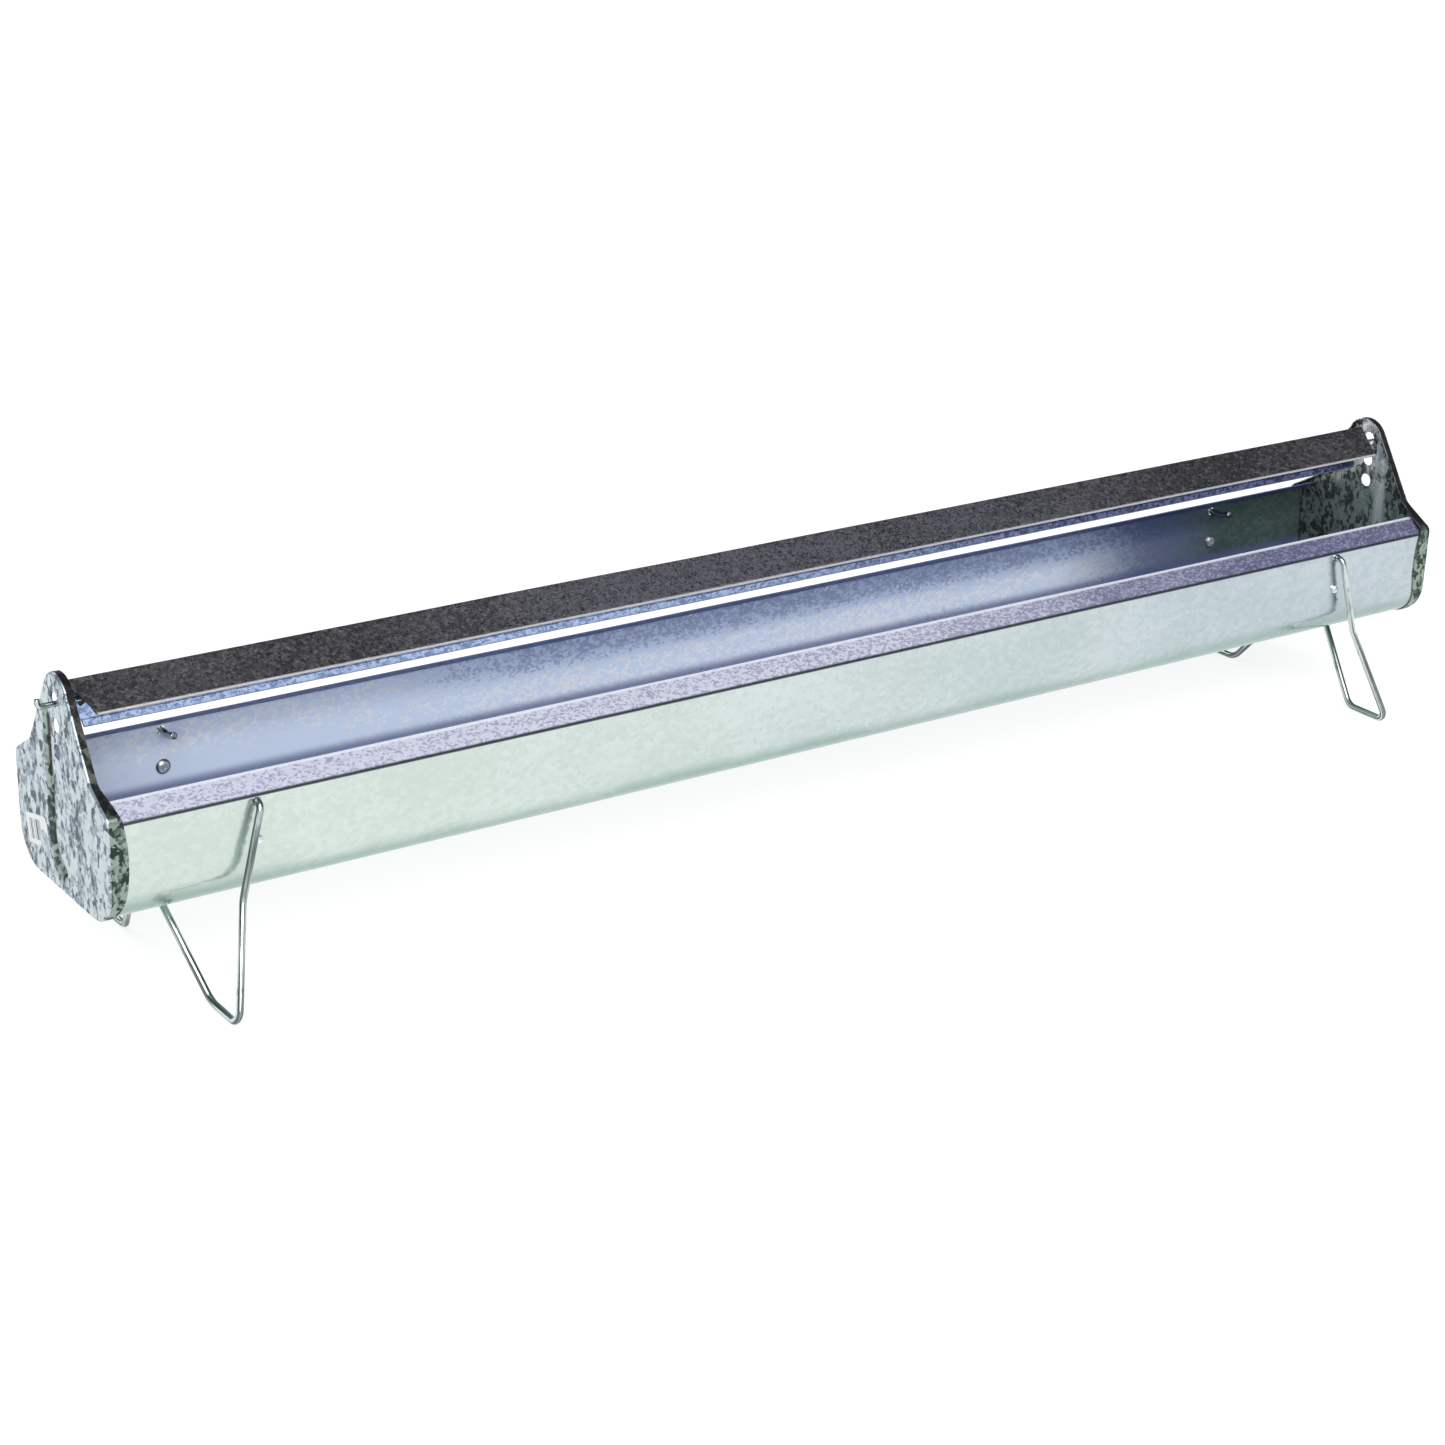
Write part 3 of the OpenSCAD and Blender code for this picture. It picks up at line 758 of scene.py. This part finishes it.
trough = make_object("folded_trough", trough_points, grid_quads(*X.shape)[keep], trough_zinc)
merge(trough)
sheet_metal(trough, 0)
place(trough, "root", "trough_sheet", "trough")

# %% [markdown]
# ## The end caps
# A cap is pressed from one blank. Its outline is a closed route of seven corners. The face is filled from a
# spine on its middle line out to the outline, then the surface rolls over the edge and runs back as a
# flange: narrow along the neck and bulging over the wall. The second parameter goes once round the outline.
# The groove and the welds push the points in, and the drawn flange puckers a little along the neck.

# %% Cap outline and groove
CAP_H = cap_high[2] - UNDER_Z
NOSE_R, NECK_R, SHOULDER_R = 17 * MM, 12 * MM, 5 * MM
NECK_LEAN = radians(31.7)
nose_z = CAP_H - NOSE_R
shoulder_z = WALL_H + 3.6 * MM
shoulder_y = foot_y + shoulder_z * WALL_SLOPE
peak_z = nose_z + NOSE_R / sin(NECK_LEAN)
neck_y = (peak_z - shoulder_z - shoulder_y * tan(LIP_SLOPE)) / (1 / tan(NECK_LEAN) - tan(LIP_SLOPE))
neck_z = peak_z - neck_y / tan(NECK_LEAN)
half_outline = [(-neck_y, neck_z), (-shoulder_y, shoulder_z), (-foot_y, 0)]
outline = rounded_route([(0, peak_z)] + half_outline + [(-y, z) for y, z in half_outline[::-1]],
                        [NOSE_R, NECK_R, SHOULDER_R, CORNER_R, CORNER_R, SHOULDER_R, NECK_R], 1.5 * MM,
                        radians(5), closed=True)
outline = np.roll(outline, -int(np.argmax(outline[:, 1])), axis=0)
ahead, behind = np.roll(outline, -1, axis=0), np.roll(outline, 1, axis=0)
tangent = (ahead - behind) / np.linalg.norm(ahead - behind, axis=1)[:, None]
outward = np.stack([-tangent[:, 1], tangent[:, 0]], axis=1)
outward *= np.sign(outward[0, 1])
print("outline points:", len(outline), " nose at", round(float(outline[:, 1].max() * 1000), 1), "mm")


def groove_depth(y, z):
    """cos^2 of the distance to the groove's line: straight down, then an arc towards the front."""
    straight = np.hypot(y - GROOVE_Y, z - np.clip(z, GROOVE_LOW, GROOVE_TOP - GROOVE_HALF_W))
    cy = GROOVE_Y - GROOVE_TAIL_R
    angle = np.clip(np.arctan2(GROOVE_LOW - z, y - cy), 0, GROOVE_TAIL_TURN - 0.12)
    tail = np.hypot(y - cy - GROOVE_TAIL_R * np.cos(angle), z - GROOVE_LOW + GROOVE_TAIL_R * np.sin(angle))
    d = np.minimum(straight, tail) / (GROOVE_HALF_W + 0.5 * MM)
    return GROOVE_DEPTH * (1 - smooth(d, 0.12, 1.0))


# %% [markdown]
# ## Face, edge and flange in one surface
# One grid covers the whole cap, so that no seam shows where the face rolls into the flange: 66 rows cross
# the face, six go round the edge and twelve along the flange. The three holes for the axle wire sit one
# above the other on the middle line, and the wire runs through the top one.

# %% Caps
EDGE_R = 1.5 * MM
NECK_FLANGE, WALL_FLANGE, BULGE_R, BULGE_Z = 5.5 * MM, 12 * MM, 114 * MM, 40 * MM
BAR_HOLE_R = 4.5 * MM
BAR_HOLE_HEIGHTS = [axle[2] - UNDER_Z + h * MM for h in (2.5, -13, -28.5)]
SPINE_LOW = 24 * MM


def wrapped(grid):
    """A grid that goes once round, with its first column again after its last."""
    return np.concatenate([grid, grid[:, :1]], axis=1)


def cap_surface():
    """Rows go from the spine out across the face, round the edge and back along the flange. Columns go
    round the outline. X is measured inwards from the face."""
    inner = outline - outward * EDGE_R
    spine = np.stack([0 * inner[:, 0], np.clip(inner[:, 1], SPINE_LOW, nose_z)], axis=1)
    across = np.linspace(0, 1, 66)[:, None, None]
    face = spine + (inner - spine) * across
    y, z = face[..., 0], face[..., 1]
    keep = np.ones((len(across) - 1, len(outline)), bool)
    for height in BAR_HOLE_HEIGHTS:
        y, z = (g[:, :-1] for g in punch(wrapped(y), wrapped(z), keep, (0, height), BAR_HOLE_R, 0.9 * MM))
    crown = 0.35 * MM * waves(11, y, z, 0.08, 0.1) * smooth(across[..., 0], 1.0, 0.8)
    x = groove_depth(y, z) + crown * smooth(np.abs(z - 101 * MM), 20 * MM, 34 * MM)
    roll = np.linspace(0, np.pi / 2, 7)[1:, None]
    y = np.concatenate([y, inner[:, 0] + outward[:, 0] * EDGE_R * np.sin(roll)])
    z = np.concatenate([z, inner[:, 1] + outward[:, 1] * EDGE_R * np.sin(roll)])
    x = np.concatenate([x, EDGE_R * (1 - np.cos(roll)) + 0 * inner[:, 0]])
    oy, oz = outline.T
    bulge = WALL_FLANGE - BULGE_R + np.sqrt(BULGE_R ** 2 - (oz - BULGE_Z) ** 2)
    reach = np.maximum(NECK_FLANGE, np.where(oz < WALL_H + 14 * MM, bulge, 0))
    back = np.linspace(0, 1, 13)[1:, None]
    fx = EDGE_R + (reach - EDGE_R) * back
    drawn = 0.22 * MM * waves(13, oz, oy, 0.017, 0.03) * smooth(oz, WALL_H + 10 * MM, WALL_H + 22 * MM) * back
    on_wall = (np.abs(outward[:, 0]) > 0.95) & (oz < WALL_H - 4 * MM)
    dent = weld_dent(fx + FACE_X, oz + UNDER_Z) * on_wall
    y = np.concatenate([y, oy + outward[:, 0] * (drawn - dent)])
    z = np.concatenate([z, oz + outward[:, 1] * (drawn - dent)])
    x = np.concatenate([x, fx])
    keep = np.concatenate([keep, np.ones((len(x) - len(across), keep.shape[1]), bool)])
    return np.stack([x + FACE_X, y, z + UNDER_Z], axis=-1), keep


cap_points, cap_keep = cap_surface()
cap_quads = grid_quads(*cap_points.shape[:2], close_v=True)[cap_keep]
a, b, c, _ = cap_points.reshape(-1, 3)[cap_quads[len(cap_quads) // 2]]
if np.cross(b - a, c - a)[0] > 0:              # a face of the left cap has to look towards negative X
    cap_quads = cap_quads[:, ::-1]
for name, turn, zinc, node in (("left_pressed_cap", 1, left_cap_zinc, "left_end_cap"),
                               ("right_pressed_cap", -1, right_cap_zinc, "right_end_cap")):
    cap = make_object(name, cap_points * (turn, turn, 1), cap_quads, zinc)
    merge(cap)
    sheet_metal(cap, -1)
    place(cap, "root", "cap_sheet", node)

# %% [markdown]
# ## The guard bar
# A V of sheet, turned about its axle. Each wing's edge is folded back on itself into a safe hem, and the ends
# are cut on a slant, so a station's X grows from the wing's edge to the ridge. A small tab at each end
# closes the V and carries the axle.

# %% Guard bar
BAR_SLIDE = 2.5 * MM                           # its play along the axle, taken up to the right
BAR_STATIONS = 170
tip_y, tip_z = WING_W * sin(BAR_ANGLE / 2), RIDGE_UP - WING_W * cos(BAR_ANGLE / 2)
RIDGE_X, TIP_X = abs(FACE_X) - 6 * MM, abs(FACE_X) - 15 * MM


def about_axle(x, y, z):
    """Turns the bar's upright section by its resting turn and lifts it to the axle."""
    return np.stack([x + BAR_SLIDE + 0 * y, axle[1] + y * cos(BAR_TURN) + z * sin(BAR_TURN),
                     axle[2] - y * sin(BAR_TURN) + z * cos(BAR_TURN)], axis=-1)


tip = np.array([-tip_y, tip_z])
wing = unit(tip - (0, RIDGE_UP))
into = np.array([-wing[1], wing[0]])
HEM_GAP, HEM_W = 1.0 * MM, 4 * MM
half_v = [tip + into * HEM_GAP - wing * HEM_W, tip + into * HEM_GAP, tip]
corners = half_v + [np.array([0, RIDGE_UP])] + [p * (-1, 1) for p in half_v[::-1]]
hem_r = HEM_GAP / 2 * 0.98
v_route = rounded_route(corners, [0, hem_r, hem_r, 1.2 * MM, hem_r, hem_r, 0], 3 * MM, radians(22))
vy, vz = v_route.T
bar_x = np.linspace(-1, 1, BAR_STATIONS)[:, None]
x_end = TIP_X + (RIDGE_X - TIP_X) * np.clip((vz - tip_z) / (RIDGE_UP - tip_z), 0, 1)
BX = bar_x * x_end
bow = 0.25 * MM * waves(17, BX, 0 * BX + vz, 0.35, 0.2) * smooth(1 - np.abs(bar_x), 0.0, 0.1)
bar_points = about_axle(BX, vy + 0 * BX, vz + bow)
guard = make_object("folded_guard_bar", bar_points, grid_quads(*BX.shape), bar_zinc)
merge(guard)
sheet_metal(guard, 0)
place(guard, "guard_bar", "bar_sheet", "guard_bar")

# %% [markdown]
# ## End tabs
# A tab is a small triangle with rounded corners and a hole for the axle. Its grid runs from the hole's ring
# out to the triangle, and it is dished a little, as pressed tabs are.

# %% End tabs of the bar
TAB_X, TAB_LOW = TIP_X + 1.3 * MM, -3.2 * MM
AXLE_R, AXLE_AIR = 1.7 * MM, 0.15 * MM
tab_half = (RIDGE_UP - TAB_LOW) * tan(BAR_ANGLE / 2) - 0.5 * MM
tab_outline = rounded_route([(0, RIDGE_UP - 1.1 * MM), (-tab_half, TAB_LOW), (tab_half, TAB_LOW)],
                            [1.2 * MM, 1.5 * MM, 1.5 * MM], 1 * MM, radians(20), closed=True)
tab_angle = np.arctan2(tab_outline[:, 1], tab_outline[:, 0])
ring = (AXLE_R + AXLE_AIR) * np.stack([np.cos(tab_angle), np.sin(tab_angle)], axis=1)
spread = np.linspace(0, 1, 6)[:, None, None]
tab_grid = ring + (tab_outline - ring) * spread
for side, name in ((-1, "left_bar_tab"), (1, "right_bar_tab")):
    dish = 0.5 * MM * (1 - spread[..., 0])
    tab = make_object(name, about_axle(side * (TAB_X + dish), tab_grid[..., 0], tab_grid[..., 1]),
                      grid_quads(*tab_grid.shape[:2], close_v=True), bar_zinc)
    merge(tab)
    sheet_metal(tab, 0)
    place(tab, "guard_bar", "bar_sheet")

# %% [markdown]
# ## Wires
# A wire is a ring carried along a route. The ring's frame is passed from station to station with the least
# twist, so the UV map's lines run straight along the wire. Real wire isn't perfectly round where it was
# bent and dipped, so the radius wanders by up to two per cent, and the sheared ends are rounded over.

# %% A wire along a route
END_ROUNDING = 0.45 * MM
WANDER = 0.012


def wire(name, route, radius, seed, sides=20):
    """Ring point k at station i is route_i + r_i (n_i cos(2 pi k / sides) + b_i sin(2 pi k / sides)), with
    n_i and b_i across the wire. Each n_i is the one before it, made square to the wire again."""
    distance = along(route)
    heading = np.gradient(route, distance, axis=0)
    heading /= np.linalg.norm(heading, axis=1)[:, None]
    start = np.cross(heading[0], (0, 0, 1) if abs(heading[0][2]) < 0.9 else (1, 0, 0))
    normals = [unit(start)]
    for h in heading[1:]:
        normals.append(unit(normals[-1] - h * (normals[-1] @ h)))
    normals = np.array(normals)
    binormals = np.cross(heading, normals)
    inset = np.minimum(distance, distance[-1] - distance)
    end = np.clip(inset / END_ROUNDING, 0, 1)
    r = radius - END_ROUNDING * (1 - np.sqrt(1 - (1 - end) ** 2))
    r = r * (1 - WANDER - WANDER * waves(seed, distance, 0 * distance, 0.028, 1))
    angle = np.linspace(0, 2 * np.pi, sides + 1)[:, None]
    ring = (normals[:, None] * np.cos(angle) + binormals[:, None] * np.sin(angle)) * r[:, None, None]
    grid = route[:, None] + ring
    grid = np.concatenate([np.broadcast_to(route[0], (1, sides + 1, 3)), grid,
                           np.broadcast_to(route[-1], (1, sides + 1, 3))])
    far = np.concatenate([[distance[0]], distance, [distance[-1]]])
    uv = np.stack(np.broadcast_arrays(far[:, None], np.linspace(0, 1, sides + 1)), axis=-1)
    obj = make_object(name, grid, grid_quads(*grid.shape[:2]), wire_zinc, uv)
    merge(obj, turn_out=True)
    return obj


def with_ends(route):
    """Adds close stations near both ends of a route, where the wire's end is rounded over."""
    near = np.array([0.03, 0.1, 0.2, 0.32, 0.45, 0.8])[:, None] * MM
    first = route[0] + unit(route[1] - route[0]) * near
    last = route[-1] + unit(route[-2] - route[-1]) * near
    return np.concatenate([route[:1], first, route[1:-1], last[::-1], route[-1:]])


# %% [markdown]
# ## Two stands and an axle
# A stand is half a route and its mirror image: from the hook's end inside the trough out through the wall,
# down to the foot, along the ground, and up to the belly bend under the trough. The second stand is the
# first turned round. The axle is a straight wire whose ends are bent up, so that it can't slide out.

# %% Stands and axle
WIRE_R = 2.2 * MM
HOOK_REACH, HOOK_OUT, HOOK_KICK = 43.5 * MM, 68.5 * MM, 2.6 * MM
FOOT_X, FOOT_Y, FOOT_W = hook[0] + 30 * MM, 94.3 * MM, 36 * MM
belly = UNDER_Z + NEST - SHEET / 2 - WIRE_R - 0.3 * MM
half_stand = [(hook[0], -HOOK_REACH, hook[2] + HOOK_KICK), (hook[0], -HOOK_REACH - 9 * MM, hook[2]),
              (hook[0], -HOOK_OUT, hook[2]), (hook[0] + 14.1 * MM, -70.5 * MM, UNDER_Z + 5 * MM),
              (FOOT_X, -FOOT_Y, WIRE_R), (FOOT_X, -FOOT_Y + FOOT_W, WIRE_R),
              (hook[0] + 42 * MM, -13 * MM, belly)]
bends = [12 * MM, 4.4 * MM, 12 * MM, 6 * MM, 12 * MM, 8 * MM]
stand_route = rounded_route(half_stand + [(x, -y, z) for x, y, z in half_stand[::-1]],
                            [0] + bends + bends[::-1] + [0], 4 * MM, radians(7))
stand_route = with_ends(stand_route)
print("wire in one stand:", round(float(along(stand_route)[-1]), 3), "m")
for name, turn, seed, node in (("right_wire_stand", 1, 21, "right_stand"),
                               ("left_wire_stand", -1, 22, "left_stand")):
    place(wire(name, stand_route * (turn, turn, 1), WIRE_R, seed), node, "wire", node)

AXLE_OUT, AXLE_UP, AXLE_BEND = 10 * MM, 4.5 * MM, 2.6 * MM
tip_x = abs(FACE_X) + AXLE_OUT
axle_corners = [(-tip_x, 0, axle[2] + AXLE_UP), (-tip_x, 0, axle[2]), (tip_x, 0, axle[2]),
                (tip_x, 0, axle[2] + AXLE_UP)]
axle_route = rounded_route(axle_corners, [0, AXLE_BEND, AXLE_BEND, 0], 8 * MM)
place(wire("bar_axle_wire", with_ends(axle_route), AXLE_R, 23, 16), "guard_bar", "wire", "bar_axle")

# %% [markdown]
# ## Stop rivets
# A blind rivet is a turned shape, so it is one outline spun round its axis: a domed head with the pulled
# mandrel sunk in its middle on the inside of the wall, and the swollen tail outside, on which the stand
# snaps to a stop.

# %% Rivets
RIVET_R = 4.7 * MM
rivet_corners = np.array([                     # distance from its axis, height and bend radius, in mm
    (0, -2.05, 0), (1.1, -2.05, 0.1), (1.2, -2.38, 0.1), (2.3, -2.3, 1.0), (4.0, -1.5, 1.4),
    (4.7, -0.75, 0.12), (4.7, -0.43, 0.1), (2.0, -0.43, 0.05), (2.0, 0.43, 0.05), (2.6, 0.45, 0.1),
    (2.7, 1.5, 0.4), (2.1, 2.4, 0.3), (1.15, 2.4, 0.12), (1.0, 1.7, 0.1), (0, 1.7, 0)]) * MM
rivet_outline = rounded_route(rivet_corners[:, :2], rivet_corners[:, 2], 0.5 * MM, radians(15))
spin = np.linspace(0, 2 * np.pi, 49)[:, None]
wall_lean = atan2(rim_y - floor_y, WALL_H - NEST)
for side, row in ((-1, "front"), (1, "back")):
    tail_way = np.array([0, side * cos(wall_lean), -sin(wall_lean)])
    across_way = np.cross(tail_way, (1, 0, 0))
    for end in ("left", "right"):
        node = f"{row}_{end}_rivet"
        low, high = (np.array(c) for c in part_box(node))
        radial = np.cos(spin)[..., None] * np.array([1, 0, 0]) + np.sin(spin)[..., None] * across_way
        out, up = rivet_outline[:, :1], rivet_outline[:, 1:]
        grid = (low + high) / 2 + radial * out + tail_way * up
        uv = np.broadcast_to(rivet_outline / RIVET_R, (*grid.shape[:2], 2))
        rivet = make_object(node + "_turned", grid, grid_quads(*grid.shape[:2]), rivet_metal, uv)
        merge(rivet, turn_out=True)
        place(rivet, "root", "rivet", node)

# %% [markdown]
# ## Label
# The sticker is a rounded rectangle filled from its middle, 0.15 mm thick, with its upper front corner a
# little lifted, where the glue has let go.

# %% Sticker
LABEL_W, LABEL_H, LABEL_TURN = 31 * MM, 18 * MM, radians(-13)
low, high = (np.array(c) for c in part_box("price_label"))
corner = np.array([LABEL_W, LABEL_H]) / 2
rim = rounded_route([corner * way for way in ((-1, -1), (1, -1), (1, 1), (-1, 1))],
                    [1.2 * MM] * 4, 1 * MM, radians(20), closed=True)
plate = rim * np.linspace(0, 1, 15)[:, None, None]
py, pz = plate[..., 0], plate[..., 1]
lift = 0.5 * MM * smooth((pz - py) / (corner[0] + corner[1]), 0.70, 1.0) ** 2
centre = (low + high) / 2
plate_points = np.stack([low[0] + 0.12 * MM - lift, centre[1] + py * cos(LABEL_TURN) - pz * sin(LABEL_TURN),
                         centre[2] + py * sin(LABEL_TURN) + pz * cos(LABEL_TURN)], axis=-1)
plate_uv = np.stack([0.5 - py / LABEL_W, 0.5 + pz / LABEL_H], axis=-1)
plate_quads = grid_quads(*plate.shape[:2], close_v=True)
label = make_object("bar_sticker", plate_points, plate_quads, sticker, plate_uv)
merge(label, turn_out=True)
paper = label.modifiers.new("paper thickness", "SOLIDIFY")
paper.thickness, paper.offset = 0.15 * MM, 0
place(label, "root", "label", "price_label")

# %% [markdown]
# ## Stage, light and camera
# A wide pale floor under an even sky. Zinc shows what it reflects, so the sky is pale along the horizon and
# darker overhead: the walls and caps then mirror the bright floor, while the top of the bar and the rim
# folds turn dark, as they do in a studio with white walls and a dark ceiling. Most of the floor's white is
# its own glow, so the shadows on it stay faint. A broad soft lamp from the front shapes the walls, and a
# softbox behind lights the far edges.

# %% Stage
def pale_floor():
    f = Finish("pale_floor", Roughness=0.9, Emission_Strength=0.8)
    even = f.noise(0.8, 2)
    f.feed("Base Color", f.mix(even, rgb(0.27, 0.27, 0.27), rgb(0.29, 0.29, 0.29)))
    f.feed("Emission Color", f.mix(even, rgb(0.97, 0.97, 0.97), rgb(0.99, 0.99, 0.99)))
    return f.material


HALF_FLOOR = 20.0
square = np.array([[-1, -1, 0], [1, -1, 0], [1, 1, 0], [-1, 1, 0]]) * HALF_FLOOR
floor = make_object("pale_floor", square, np.array([[0, 1, 2, 3]]), pale_floor())

world = bpy.data.worlds.new("studio")
bpy.context.scene.world = world
world.use_nodes = True
sky = world.node_tree
background = next(n for n in sky.nodes if n.type == "BACKGROUND")
direction = add_node(sky, "ShaderNodeTexCoord").outputs["Generated"]
height = add_node(sky, "ShaderNodeSeparateXYZ", None, {0: direction}).outputs[2]
sky_stops = [(0.0, rgb(0.92, 0.95, 1.0)), (0.10, rgb(0.80, 0.84, 0.92)), (0.30, rgb(0.20, 0.21, 0.25)),
             (0.75, rgb(0.16, 0.17, 0.21)), (1.0, rgb(0.30, 0.32, 0.38))]
ramp = add_node(sky, "ShaderNodeValToRGB", {"stops": sky_stops}, {0: height})
sky.links.new(ramp.outputs[0], background.inputs[0])


def lamp(name, kind, place_at, look_at, energy, **settings):
    """A lamp at a place, turned to look at a point."""
    data = bpy.data.lights.new(name, kind)
    data.energy = energy
    for key, setting in settings.items():
        setattr(data, key, setting)
    obj = bpy.data.objects.new(name, data)
    bpy.context.scene.collection.objects.link(obj)
    obj.location = place_at
    obj.rotation_euler = (Vector(look_at) - Vector(place_at)).to_track_quat("-Z", "Y").to_euler()
    print(f"{name}: {kind.lower()} lamp at {place_at}")


lamp("broad_lamp", "SUN", (-0.6, -1.6, 1.5), (0, 0, 0), 4.0, angle=radians(60), color=(1.0, 0.99, 0.97))
lamp("back_softbox", "AREA", (-0.9, 1.5, 1.3), (0, 0, 0.1), 14, shape="RECTANGLE", size=1.6, size_y=0.7)

# %% [markdown]
# ## Camera
# A long lens from the front left and a little above keeps the trough's long edges nearly parallel. A small
# shift of the lens centres the feeder. The Standard view transform leaves the whites white.

# %% Camera
YAW, DOWN, ROLL = radians(33.26), radians(19.58), radians(0.62)
CAMERA_AT = (-1.083, -1.480, 0.773)
camera = bpy.data.objects.new("camera", bpy.data.cameras.new("camera"))
bpy.context.scene.collection.objects.link(camera)
bpy.context.scene.camera = camera
camera.data.lens, camera.data.sensor_width = 76.3, 36
camera.data.shift_x, camera.data.shift_y = 0.050, -0.064
camera.data.clip_end = 100
forward = np.array([sin(YAW) * cos(DOWN), cos(YAW) * cos(DOWN), -sin(DOWN)])
right = np.array([cos(YAW), -sin(YAW), 0])
up = np.cross(right, forward)
right, up = right * cos(ROLL) + up * sin(ROLL), up * cos(ROLL) - right * sin(ROLL)
pose = np.eye(4)
pose[:3] = np.stack([right, up, -forward, CAMERA_AT], axis=1)
camera.matrix_world = Matrix(pose.tolist())
bpy.context.scene.view_settings.view_transform = "Standard"
bpy.context.scene.view_settings.look = "None"
print("camera at", CAMERA_AT)
